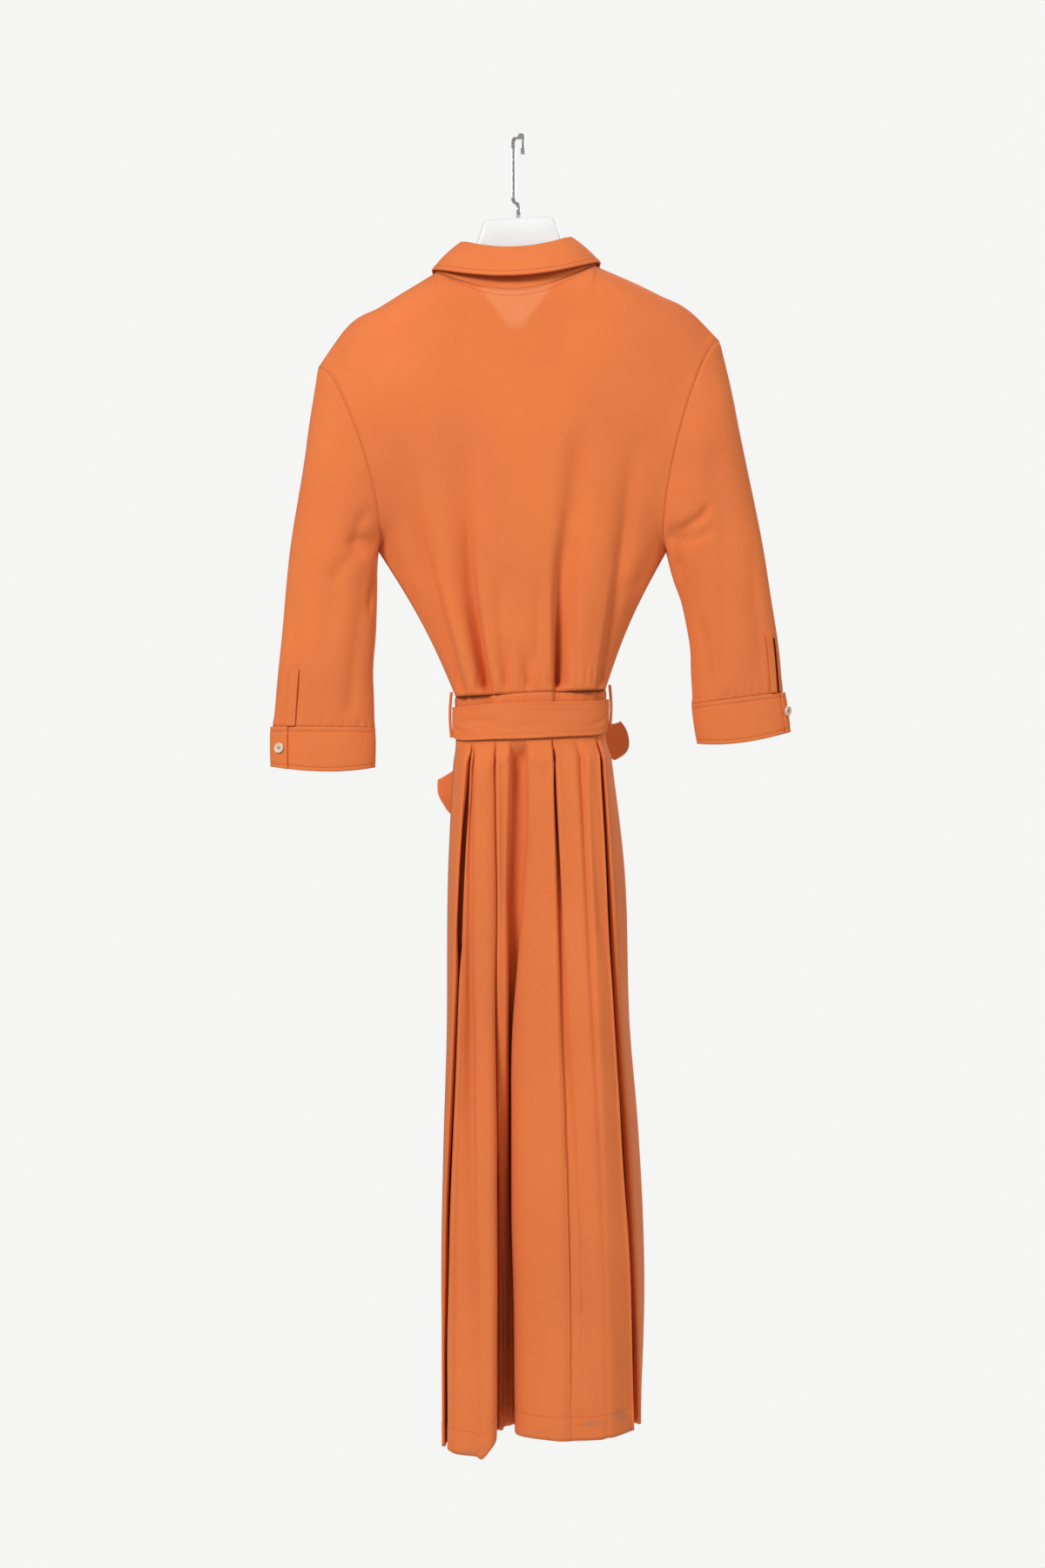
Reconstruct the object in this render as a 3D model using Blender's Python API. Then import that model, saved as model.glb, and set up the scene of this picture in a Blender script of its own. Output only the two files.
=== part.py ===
"""Cotton jersey shirt dress, hung on a broad-shouldered plastic hanger.

The frame's origin is the inside top of the hook, where it rests on a rail.
+X is the wearer's right, +Y the dress's front, +Z up.
Tables are in millimetres, and meshes are made in metres.
"""
import bpy
import numpy as np

MM = 0.001
CLOTH = 2.0                 # wall of every cloth piece
SEAM_GAP = 0.3              # between pieces that are sewn together
LEAN = 0.045                # sideways lean of the hanger on its hook, rise over run

NECK_CENTRE = -4.0
NECK_HALF_WIDTH = 86.0
NECK_HALF_DEPTH = 47.0
WAIST_CENTRE = 12.5
WAIST_HALF_WIDTH = 80.0
WAIST_HALF_DEPTH = 36.0
WAIST_Z = -601.0
BELT_TOP_Z = -609.5
BELT_BOTTOM_Z = -650.5
HEM_Z = -1400.0
BUTTON_DIAMETER = 11.3
BUTTON_THICKNESS = 2.6
BAND_ANGLE = 0.04           # from the band's middle line to each front's edge at the waist, in radians
BUTTON_SPACING = 96.0

for old in list(bpy.data.objects):
    bpy.data.objects.remove(old, do_unlink=True)


def material(name, colour, roughness, metallic=0.0):
    """A Principled material of one colour."""
    made = bpy.data.materials.new(name)
    made.use_nodes = True
    shader = made.node_tree.nodes["Principled BSDF"]
    shader.inputs["Base Color"].default_value = (*colour, 1.0)
    shader.inputs["Roughness"].default_value = roughness
    shader.inputs["Metallic"].default_value = metallic
    return made


JERSEY = material("orange_jersey", (0.76, 0.17, 0.04), 0.85)
IVORY = material("ivory_button", (0.78, 0.68, 0.52), 0.35)
PLASTIC = material("white_plastic", (0.86, 0.86, 0.85), 0.4)
CHROME = material("chromed_steel", (0.75, 0.76, 0.78), 0.12, 1.0)


def through(stations, values, where):
    """Smooth curve through values at rising stations: cubic pieces that share their neighbours' slopes."""
    stations = np.asarray(stations, float)
    values = np.asarray(values, float)
    where = np.asarray(where, float)
    slopes = np.gradient(values, stations, axis=0)
    i = np.clip(np.searchsorted(stations, where) - 1, 0, len(stations) - 2)
    span = stations[i + 1] - stations[i]
    t = np.clip((where - stations[i]) / span, 0.0, 1.0)
    extra = (1,) * (values.ndim - 1)
    t = t.reshape(t.shape + extra)
    span = span.reshape(span.shape + extra)
    start = (1 + 2 * t) * (1 - t) ** 2 * values[i] + t * (1 - t) ** 2 * span * slopes[i]
    end = t * t * (3 - 2 * t) * values[i + 1] + t * t * (t - 1) * span * slopes[i + 1]
    return start + end


def smooth_step(low, high, where):
    """0 below low, 1 above high, and an S curve between."""
    t = np.clip((where - low) / (high - low), 0.0, 1.0)
    return t * t * (3 - 2 * t)


def lean(points):
    """Raise each point by the hanger's lean for its place across."""
    moved = np.array(points, float)
    moved[..., 2] += LEAN * moved[..., 0]
    return moved


def grid_normals(grid, closed):
    """Unit normals of a grid of points, from its differences along rows and columns."""
    if closed:
        across = np.roll(grid, -1, axis=1) - np.roll(grid, 1, axis=1)
    else:
        across = np.gradient(grid, axis=1)
    normals = np.cross(np.gradient(grid, axis=0), across)
    return normals / np.maximum(np.linalg.norm(normals, axis=2, keepdims=True), 1e-9)


def mesh_object(name, points, faces, look):
    """A named object from points in millimetres, faced outwards."""
    corners = points * MM
    volume = 0.0
    for face in faces:
        for a, b in zip(face[1:-1], face[2:]):
            volume += np.dot(corners[face[0]], np.cross(corners[a], corners[b]))
    if volume < 0:
        faces = [face[::-1] for face in faces]
    mesh = bpy.data.meshes.new(name)
    mesh.from_pydata(corners.tolist(), [], faces)
    mesh.materials.append(look)
    mesh.shade_smooth()
    made = bpy.data.objects.new(name, mesh)
    bpy.context.collection.objects.link(made)
    return made


def wall(name, grid, look, closed=False, thickness=CLOTH, normals=None, cut=None):
    """A closed wall about a grid of mid points: two faces, and a rim round every open or cut edge."""
    if normals is None:
        normals = grid_normals(grid, closed)
    rows, columns = grid.shape[:2]
    outer = grid + normals * thickness / 2
    inner = grid - normals * thickness / 2
    points = np.concatenate([outer.reshape(-1, 3), inner.reshape(-1, 3)])
    back = rows * columns
    kept = np.ones((rows - 1, columns if closed else columns - 1), bool)
    if cut is not None:
        kept[cut] = False
    faces = []
    rims = {}
    for row, column in np.argwhere(kept):
        following = (column + 1) % columns
        a = int(row * columns + column)
        b = int(row * columns + following)
        c = int((row + 1) * columns + following)
        d = int((row + 1) * columns + column)
        faces.append((a, b, c, d))
        faces.append((d + back, c + back, b + back, a + back))
        for start, end in ((a, b), (b, c), (c, d), (d, a)):
            if (end, start) in rims:
                del rims[(end, start)]
            else:
                rims[(start, end)] = True
    faces.extend((end, start, start + back, end + back) for start, end in rims)
    used = np.unique(np.array([corner for face in faces for corner in face]))
    place = np.zeros(len(points), int)
    place[used] = np.arange(len(used))
    faces = [tuple(int(place[corner]) for corner in face) for face in faces]
    return mesh_object(name, lean(points[used]), faces, look)


def solid_rings(name, rings, look):
    """A solid from a stack of closed rings, capped at both ends."""
    count, around = rings.shape[:2]
    faces = [tuple(range(around)), tuple((count - 1) * around + k for k in reversed(range(around)))]
    for row in range(count - 1):
        for k in range(around):
            nxt = (k + 1) % around
            faces.append((row * around + k, (row + 1) * around + k,
                          (row + 1) * around + nxt, row * around + nxt))
    return mesh_object(name, rings.reshape(-1, 3), faces, look)


# --- Waist, neck and centre line -------------------------------------------------------------

def waist_ring(turn, proud=0.0):
    """Waist ellipse at an angle from the wearer's right, the front at a quarter turn."""
    return (WAIST_CENTRE + (WAIST_HALF_WIDTH + proud) * np.cos(turn),
            (WAIST_HALF_DEPTH + proud) * np.sin(turn))


def neck_ring(turn):
    """Neck seam: an ellipse that drops 28 mm at the back and 72 mm at the front."""
    back = np.maximum(-np.sin(turn), 0.0)
    front = np.maximum(np.sin(turn), 0.0)
    return np.stack([NECK_CENTRE + NECK_HALF_WIDTH * np.cos(turn),
                     NECK_HALF_DEPTH * np.sin(turn),
                     -143.0 - 28.0 * back ** 2 - 72.0 * front ** 1.5], axis=-1)


def front_centre(z):
    """Where the button band lies across, at a height."""
    return through([215.0, 600.0, 1400.0], [-3.0, 12.5, 26.0], -np.asarray(z, float))


# --- Armholes --------------------------------------------------------------------------------

# side: tip of the shoulder, underarm point, and how far the seam bows inwards and to the back
ARMHOLES = {
    "left": dict(tip=(-216.0, -238.5), underarm=(-155.0, -434.0), bow=20.0, depth=36.0),
    "right": dict(tip=(216.0, -230.0), underarm=(161.7, -449.0), bow=20.0, depth=36.0),
}


def armhole(side, turn):
    """Armhole seam at an angle from the shoulder tip (0) past the back (a quarter) to the underarm."""
    seam = ARMHOLES[side]
    tip, under = np.array(seam["tip"]), np.array(seam["underarm"])
    middle, half = (tip + under) / 2, (tip - under) / 2
    inward = 1.0 if side == "left" else -1.0
    x = middle[0] + half[0] * np.cos(turn) + inward * seam["bow"] * np.abs(np.sin(turn))
    z = middle[1] + half[1] * np.cos(turn)
    return np.stack([x, -seam["depth"] * np.sin(turn), z], axis=-1)


def armhole_normals(side, turn):
    """Directions away from the middle of the armhole, shared by the bodice and the sleeve."""
    seam = ARMHOLES[side]
    half = (np.array(seam["tip"]) - np.array(seam["underarm"])) / 2
    half = half / np.linalg.norm(half)
    return np.stack([half[0] * np.cos(turn), -np.sin(turn), half[1] * np.cos(turn)], axis=-1)


# --- Bodice ----------------------------------------------------------------------------------

BACK_COLUMNS = 33
FRONT_COLUMNS = 16
BODICE_ROWS = 17
ARMHOLE_ROWS = 10           # rows that end on the armhole; the rest end on the side seam
SHOULDER_ROUNDING = 45.0    # how far below its top edge the cloth turns down
BACK_DEPTH = ([0.0, 0.5, 0.8, 1.0], [48.0, 48.0, 42.0, WAIST_HALF_DEPTH])

# pleat: x and z where it leaves the waist, x and z half way, x and z where it dies out,
# depth at the waist, width of its steep side and of its soft side (right side steep if positive)
PLEATS = [
    dict(waist=(-57, -600), middle=(-97, -456), top=(-133, -330), depth=13, steep=5, soft=16, to=1),
    dict(waist=(-30, -600), middle=(-52, -455), top=(-58, -330), depth=15, steep=5, soft=18, to=1),
    dict(waist=(-12, -600), middle=(-14, -560), top=(-16, -530), depth=4, steep=5, soft=7, to=1),
    dict(waist=(8, -600), middle=(8, -565), top=(7, -540), depth=4, steep=5, soft=7, to=-1),
    dict(waist=(38.5, -600), middle=(42, -480), top=(56, -380), depth=15, steep=5, soft=17, to=-1),
    dict(waist=(84, -600), middle=(108, -456), top=(121, -350), depth=10, steep=5, soft=15, to=-1),
]


def shoulder_edge(side, share):
    """Top edge of one shoulder from its tip (0) to the neck seam (1), lying in the plane of y = 0."""
    sign = -1.0 if side == "left" else 1.0
    tip = ARMHOLES[side]["tip"]
    neck = neck_ring(np.array(np.pi if side == "left" else 0.0))
    across = through([0.0, 0.15, 0.4, 1.0], [tip[0], sign * 187.0, sign * 150.0, neck[0]], share)
    height = through([0.0, 0.15, 0.4, 1.0], [tip[1], -199.0, -177.0, neck[2]], share)
    return np.stack([across, np.zeros_like(across), height], axis=-1)


def pleat_depth(x, z):
    """How far the bodice's back is pressed in at a place, summed over the pleats."""
    total = np.zeros_like(x)
    for pleat in PLEATS:
        heights = [pleat[key][1] for key in ("waist", "middle", "top")]
        centre = through(heights, [pleat[key][0] for key in ("waist", "middle", "top")], z)
        fade = 1.0 - smooth_step(heights[0] + 20.0, heights[2], z)
        aside = (x - centre) * pleat["to"]
        width = np.where(aside > 0, pleat["steep"], pleat["soft"])
        total += pleat["depth"] * fade * np.exp(-(aside / width) ** 2)
    return total


def patch(top, bottom, left, right):
    """Grid between four edges, each carried over by its own share (a Coons patch)."""
    u = np.linspace(0, 1, len(top))[None, :, None]
    v = np.linspace(0, 1, len(left))[:, None, None]
    ruled = (1 - v) * top[None] + v * bottom[None] + (1 - u) * left[:, None] + u * right[:, None]
    corners = ((1 - u) * (1 - v) * top[0] + u * (1 - v) * top[-1]
               + (1 - u) * v * bottom[0] + u * v * bottom[-1])
    return ruled - corners


def side_edge(side, facing):
    """Armhole then side seam, from the shoulder tip to the waist; facing is 1 at the back, -1 in front."""
    turn = np.linspace(0, np.pi, ARMHOLE_ROWS)
    seam = armhole(side, turn * facing)
    seam[:, 0] += 0.5 * SEAM_GAP if side == "left" else -0.5 * SEAM_GAP
    waist = waist_ring(np.pi if side == "left" else 0.0)
    share = np.linspace(0, 1, BODICE_ROWS - ARMHOLE_ROWS + 1)[1:, None]
    hollow = np.array([[6.0 if side == "left" else -6.0, 0.0, 0.0]])
    end = np.array([waist[0], 0.0, WAIST_Z])
    below = seam[-1] + share * (end - seam[-1]) + np.sin(np.pi * share) * hollow
    return np.concatenate([seam, below])


def seam_normals(grid, edges):
    """Normals that lie flat in the waist, side and shoulder seams, and follow the armholes."""
    normals = grid_normals(grid, False)
    normals[-1, :, 2] = 0.0
    for rows, columns, direction in edges:
        if direction is None:
            normals[rows, columns, 1] = 0.0
        else:
            normals[rows, columns] = direction
    length = np.linalg.norm(normals, axis=2, keepdims=True)
    return normals / length


def pull_in(grid, top, depth, sides, facing):
    """Set the depth of a bodice grid: full in the middle, its edges' own at the sides and the top."""
    share = np.linspace(0, 1, grid.shape[0])
    full = facing * through(depth[0], depth[1], share)[:, None]
    below = np.clip(np.hypot(grid[..., 2] - top[None, :, 2],
                             grid[..., 0] - top[None, :, 0]) / SHOULDER_ROUNDING, 0, 1)
    rounding = np.sqrt(1 - (1 - below) ** 2)
    depths = sides[0] + (full - sides[0]) * sides[1]
    return top[None, :, 1] * (1 - rounding) + depths * rounding


def bodice_back():
    """Back bodice: shoulders, neck and armholes cut in its edge, pleated into the waist."""
    shoulder = np.linspace(0, 1, 10)
    turns = np.linspace(np.pi, 2 * np.pi, BACK_COLUMNS - 18)
    top = np.concatenate([shoulder_edge("left", shoulder), neck_ring(turns)[1:-1],
                          shoulder_edge("right", shoulder[::-1])])
    columns = len(top)
    turn = np.linspace(np.pi, 2 * np.pi, columns)
    x, y = waist_ring(turn)
    bottom = np.stack([x, y, np.full(columns, WAIST_Z)], axis=-1)
    left, right = side_edge("left", 1), side_edge("right", 1)
    grid = patch(top, bottom, left, right)
    u = np.linspace(-1, 1, columns)[None, :]
    fullness = (1 - np.abs(u) ** 3) ** 0.6
    sides = np.where(u < 0, left[:, None, 1], right[:, None, 1])
    grid[..., 1] = pull_in(grid, top, BACK_DEPTH, (sides, fullness), -1)
    grid[..., 1] += pleat_depth(grid[..., 0], grid[..., 2]) * fullness * (
        1 - smooth_step(0.97, 1.0, np.linspace(0, 1, BODICE_ROWS))[:, None])
    grid[0, :, 1] = top[:, 1]
    grid[:, 0, 1], grid[:, -1, 1] = left[:, 1], right[:, 1]
    grid[-1] = bottom
    grid[0, :10, 1] = grid[0, -10:, 1] = -0.5 * SEAM_GAP
    grid[ARMHOLE_ROWS - 1:, 0, 1] = grid[ARMHOLE_ROWS - 1:, -1, 1] = -0.5 * SEAM_GAP
    curve = np.linspace(0, np.pi, ARMHOLE_ROWS)
    edges = [(0, slice(0, 10), None), (0, slice(-10, None), None),
             (slice(ARMHOLE_ROWS, None), 0, None), (slice(ARMHOLE_ROWS, None), -1, None)]
    flip = np.sign(grid_normals(grid, False)[8, columns // 2, 1]) * -1.0
    edges.append((slice(0, ARMHOLE_ROWS), 0, flip * armhole_normals("left", curve)))
    edges.append((slice(0, ARMHOLE_ROWS), -1, flip * armhole_normals("right", curve)))
    wall("bodice_back", grid, JERSEY, normals=seam_normals(grid, edges))


FRONT_DEPTH = ([0.0, 0.5, 0.8, 1.0], [46.0, 48.0, 42.0, WAIST_HALF_DEPTH])
FRONT_EDGE = 3.0            # a front's own edge, from the centre line of the button band


def bodice_front(side):
    """One front bodice, from its armhole to its edge under the button band."""
    sign = -1.0 if side == "left" else 1.0
    shoulder = np.linspace(0, 1, 8)
    if side == "left":
        turns = np.linspace(np.pi, 0.5 * np.pi + 0.06, FRONT_COLUMNS - 7)
        waist_turns = np.linspace(np.pi, 0.5 * np.pi + BAND_ANGLE, FRONT_COLUMNS)
    else:
        turns = np.linspace(0.0, 0.5 * np.pi - 0.06, FRONT_COLUMNS - 7)
        waist_turns = np.linspace(0.0, 0.5 * np.pi - BAND_ANGLE, FRONT_COLUMNS)
    top = np.concatenate([shoulder_edge(side, shoulder), neck_ring(turns)[1:]])
    x, y = waist_ring(waist_turns)
    bottom = np.stack([x, y, np.full(FRONT_COLUMNS, WAIST_Z)], axis=-1)
    outer = side_edge(side, -1)
    share = np.linspace(0, 1, BODICE_ROWS)[:, None]
    inner = top[-1] + share * (bottom[-1] - top[-1])
    inner[:, 0] = front_centre(inner[:, 2]) + sign * FRONT_EDGE
    top[-1, 0], bottom[-1, 0] = inner[0, 0], inner[-1, 0]
    grid = patch(top, bottom, outer, inner)
    u = np.linspace(-1, 0, FRONT_COLUMNS)[None, :]
    fullness = (1 - np.abs(u) ** 3) ** 0.6
    grid[..., 1] = pull_in(grid, top, FRONT_DEPTH, (outer[:, None, 1], fullness), 1)
    grid[0, :, 1], grid[-1, :, 1] = top[:, 1], bottom[:, 1]
    grid[:, 0, 1] = outer[:, 1]
    grid[0, :8, 1] = 0.5 * SEAM_GAP
    grid[ARMHOLE_ROWS - 1:, 0, 1] = 0.5 * SEAM_GAP
    curve = np.linspace(0, -np.pi, ARMHOLE_ROWS)
    flip = np.sign(grid_normals(grid, False)[8, FRONT_COLUMNS // 2, 1])
    edges = [(0, slice(0, 8), None), (slice(ARMHOLE_ROWS, None), 0, None),
             (slice(0, ARMHOLE_ROWS), 0, flip * armhole_normals(side, curve))]
    wall("bodice_front_" + side, grid, JERSEY, normals=seam_normals(grid, edges))
    return grid


bodice_back()
front_grids = {side: bodice_front(side) for side in ("left", "right")}


# --- Collar: stand and leaf ------------------------------------------------------------------

COLLAR_CENTRE = -3.0
FOLD = dict(half_width=60.0, back_depth=31.0, front_depth=31.0, squareness=1.0,
            side=-111.0, back=-12.5, front=-52.0)
LEAF_EDGE = dict(half_width=90.5, back_depth=57.0, front_depth=64.0, squareness=0.6,
                 side=-140.0, back=-18.0, front=-119.0)
STAND_INSET = 4.3           # stand's top edge inside the fold of the leaf
STAND_LIFT = 1.7            # base of the stand above the cloth, beside and before the neck


def collar_ring(turn, size, inset=0.0):
    """Ring of the collar at one level, dropping at its back and more at its front."""
    back = np.maximum(-np.sin(turn), 0.0)
    front = np.maximum(np.sin(turn), 0.0)
    deep = ((size["front_depth"] - inset) * front ** size["squareness"]
            - (size["back_depth"] - inset) * back)
    return np.stack([COLLAR_CENTRE + (size["half_width"] - inset) * np.cos(turn), deep,
                     size["side"] + size["back"] * back ** 2 + size["front"] * front ** 2], axis=-1)


def round_from_front(start_degrees, count):
    """Angles from just right of the front, past the back, to just left of the front."""
    start = np.radians(start_degrees)
    return np.linspace(0.5 * np.pi - start, -1.5 * np.pi + start, count)


def collar():
    """Stand sewn to the neck seam, and the leaf that falls over it from the fold."""
    turns = round_from_front(4.0, 31)
    base = neck_ring(turns)
    base[:, 2] += SEAM_GAP + 0.2 + STAND_LIFT * np.where(np.sin(turns) > 0, 1.0, np.abs(np.cos(turns)))
    crest = collar_ring(turns, FOLD, STAND_INSET)
    share = np.linspace(0, 1, 4)[:, None, None]
    stand = base[None] * (1 - share) + crest[None] * share
    normals = grid_normals(stand, False)
    normals[0, :, 2] = 0.0
    normals /= np.linalg.norm(normals, axis=2, keepdims=True)
    wall("collar_stand", stand, JERSEY, normals=normals)
    crest = collar_ring(round_from_front(7.0, 33), FOLD)
    edge = collar_ring(round_from_front(30.0, 33), LEAF_EDGE)
    share = np.linspace(0, 1, 5)[:, None, None]
    leaf = crest[None] * (1 - share) + edge[None] * share
    leaf[..., 2] += 2.5 * np.sin(np.pi * share[..., 0])
    wall("collar_leaf", leaf, JERSEY)


# --- Sleeves and cuffs -----------------------------------------------------------------------

# share of the length: outer edge x and z, inner edge x and z, half depth, how far the ring bows in
SLEEVES = {
    "left": dict(
        share=[0.0, 0.08, 0.22, 0.42, 0.62, 0.82, 1.0],
        outer=[(-216, -238.5), (-223, -280), (-232, -345), (-245, -425), (-253, -505), (-260, -570),
               (-265, -624)],
        inner=[(-155, -434), (-154.5, -452), (-154, -480), (-155, -520), (-157.5, -562), (-157, -600),
               (-156, -630)],
        depth=[36, 37, 35, 31, 27, 23, 19], bow=[20, 11, 3, 0, 0, 0, 0], slit=50.0),
    "right": dict(
        share=[0.0, 0.08, 0.22, 0.42, 0.62, 0.82, 1.0],
        outer=[(216, -230), (227, -274), (239, -335), (256, -420), (269, -495), (279, -558),
               (284, -612)],
        inner=[(161.7, -449), (162.5, -462), (167, -484), (177, -515), (185, -555), (186.5, -590),
               (187, -620)],
        depth=[36, 37, 35, 31, 27, 23, 19], bow=[20, 11, 3, 0, 0, 0, 0], slit=27.0),
}
SLEEVE_ROWS = 13
SLEEVE_COLUMNS = 18         # twice the steps between the bodice's armhole points
SLIT_COLUMN = {"left": 2, "right": 1}
SLIT_HALF = 3.4             # half the width of the slit above a cuff, in degrees round the sleeve
SLIT_LENGTH = 0.20          # share of the sleeve
CUFF_HEIGHT = 43.0
CUFF_OVERLAP = 34.0         # degrees
CUFF_LAYER = CLOTH + SEAM_GAP + 0.2


def sleeve_surface(side, share, turn):
    """Middle of the sleeve's cloth at a share of its length and an angle from its outer edge to its back."""
    cut = SLEEVES[side]
    outer = through(cut["share"], cut["outer"], share)
    inner = through(cut["share"], cut["inner"], share)
    depth = through(cut["share"], cut["depth"], share)
    bow = through(cut["share"], cut["bow"], share) * (1.0 if side == "left" else -1.0)
    middle, half = (outer + inner) / 2, (outer - inner) / 2
    cosine, sine = np.cos(turn), np.sin(turn)
    return np.stack([middle[..., 0] + half[..., 0] * cosine + bow * np.abs(sine),
                     -depth * sine, middle[..., 1] + half[..., 1] * cosine], axis=-1)


def sleeve(side):
    """Tube from the armhole to the cuff seam, slit up from the cuff at its back."""
    slit = SLEEVES[side]["slit"]
    turns = np.radians(np.linspace(0.0, 360.0, SLEEVE_COLUMNS, endpoint=False))
    column = SLIT_COLUMN[side]
    gathered = turns.copy()
    gathered[column:column + 2] = np.radians([slit - SLIT_HALF, slit + SLIT_HALF])
    top_rows = np.linspace(0, 1 - SLIT_LENGTH, SLEEVE_ROWS - 3)
    rows = np.concatenate([top_rows, 1 - SLIT_LENGTH * np.array([0.66, 0.33, 0.0])])
    towards = smooth_step(0.2, 1 - SLIT_LENGTH, rows)[:, None]
    turn = turns * (1 - towards) + gathered * towards
    share = np.repeat(rows[:, None], SLEEVE_COLUMNS, axis=1)
    grid = sleeve_surface(side, share, turn)
    grid[0] = armhole(side, turns)
    grid[0, :, 0] += (-0.5 if side == "left" else 0.5) * SEAM_GAP
    normals = grid_normals(grid, True)
    flip = np.sign(np.sum(normals[0] * armhole_normals(side, turns)))
    normals[0] = flip * armhole_normals(side, turns)
    normals[-1, :, 2] = 0.0
    normals /= np.linalg.norm(normals, axis=2, keepdims=True)
    wall("sleeve_" + side, grid, JERSEY, closed=True, normals=normals,
         cut=(slice(SLEEVE_ROWS - 4, None), slice(column, column + 1)))
    # binding sewn along the slit, moved out from the sleeve's own points
    lap = (-6.0, 7.0) if side == "left" else (SLIT_HALF, SLIT_HALF + 12.0)
    share, turn = np.meshgrid(np.linspace(1 - SLIT_LENGTH * 1.12, 0.985, 5),
                              np.radians(slit + np.linspace(lap[0], lap[1], 3)), indexing="ij")
    strip = sleeve_surface(side, share, turn)
    outwards = grid_normals(strip, False)
    outwards *= np.sign(-outwards[2, 1, 1])
    wall("slit_binding_" + side, strip + outwards * (CLOTH + SEAM_GAP + 0.4), JERSEY, normals=outwards)


def cuff_surface(side, turn, drop, proud=0.0):
    """Middle of a cuff's cloth at an angle and a drop below its seam, moved out by some millimetres."""
    cut = SLEEVES[side]
    outer, inner = np.array(cut["outer"][-1], float), np.array(cut["inner"][-1], float)
    middle, half = (outer + inner) / 2, (outer - inner) / 2
    depth = cut["depth"][-1] + proud
    reach = half[0] + np.sign(half[0]) * proud
    flare = (6.0 if side == "right" else 0.0) * drop / CUFF_HEIGHT
    return np.stack([middle[0] + flare + reach * np.cos(turn), -depth * np.sin(turn),
                     middle[1] + half[1] * np.cos(turn) - SEAM_GAP - drop], axis=-1)


def cuff(side):
    """Cuff: one strip round the wrist whose buttoned end laps over the other."""
    end = SLEEVES[side]["slit"] - 2.0
    turns = np.linspace(end, end - 360.0 - CUFF_OVERLAP, 34)
    drop, turn = np.meshgrid(np.linspace(0, CUFF_HEIGHT, 3), turns, indexing="ij")
    proud = CUFF_LAYER * smooth_step(end - 135.0, end - CUFF_OVERLAP - 8.0, turn)
    grid = cuff_surface(side, np.radians(turn), drop, proud)
    wall("cuff_" + side, grid, JERSEY)


def button(name, centre, outwards):
    """Button with a dished face: rings about its axis, its back at centre."""
    outwards = np.asarray(outwards, float) / np.linalg.norm(outwards)
    beside = np.cross(outwards, [0.0, 0.0, 1.0])
    beside /= np.linalg.norm(beside)
    upright = np.cross(beside, outwards)
    around = np.linspace(0, 2 * np.pi, 12, endpoint=False)
    radius = BUTTON_DIAMETER / 2
    profile = [(radius - 0.5, 0.0), (radius, 1.0), (radius - 0.8, BUTTON_THICKNESS),
               (0.6 * radius, BUTTON_THICKNESS - 0.7)]
    rings = np.stack([centre + outwards * height + width * (
        np.cos(around)[:, None] * beside + np.sin(around)[:, None] * upright)
        for width, height in profile])
    solid_rings(name, lean(rings), IVORY)


def cuff_button(side, turn_degrees, drop):
    """Button sewn on the outer end of a cuff."""
    turn = np.radians(turn_degrees)
    place = cuff_surface(side, turn, drop, CUFF_LAYER)
    nearby = cuff_surface(side, turn + 0.02, drop, CUFF_LAYER)
    along = nearby - place
    outwards = np.array([along[1], -along[0], 0.0])
    outwards *= np.sign(-outwards[1])
    outwards /= np.linalg.norm(outwards)
    # a flat back on a round cuff touches along its middle
    button("cuff_button_" + side, place + outwards * (CLOTH / 2 + SEAM_GAP + 0.6), outwards)


collar()
for side in ("left", "right"):
    sleeve(side)
    cuff(side)
cuff_button("left", 36.0, 22.0)
cuff_button("right", 16.0, 20.0)


# --- Skirt -----------------------------------------------------------------------------------

LEVELS = [664.0, 790.0, 978.0, 1070.0, 1255.0, 1400.0]      # below the rail, where the folds are set
SKIRT_TOP_Z = WAIST_Z - SEAM_GAP
SKIRT_ROWS = 13
SLIT_TIP = 1.7              # half the width of a fold's inmost turn

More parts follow.
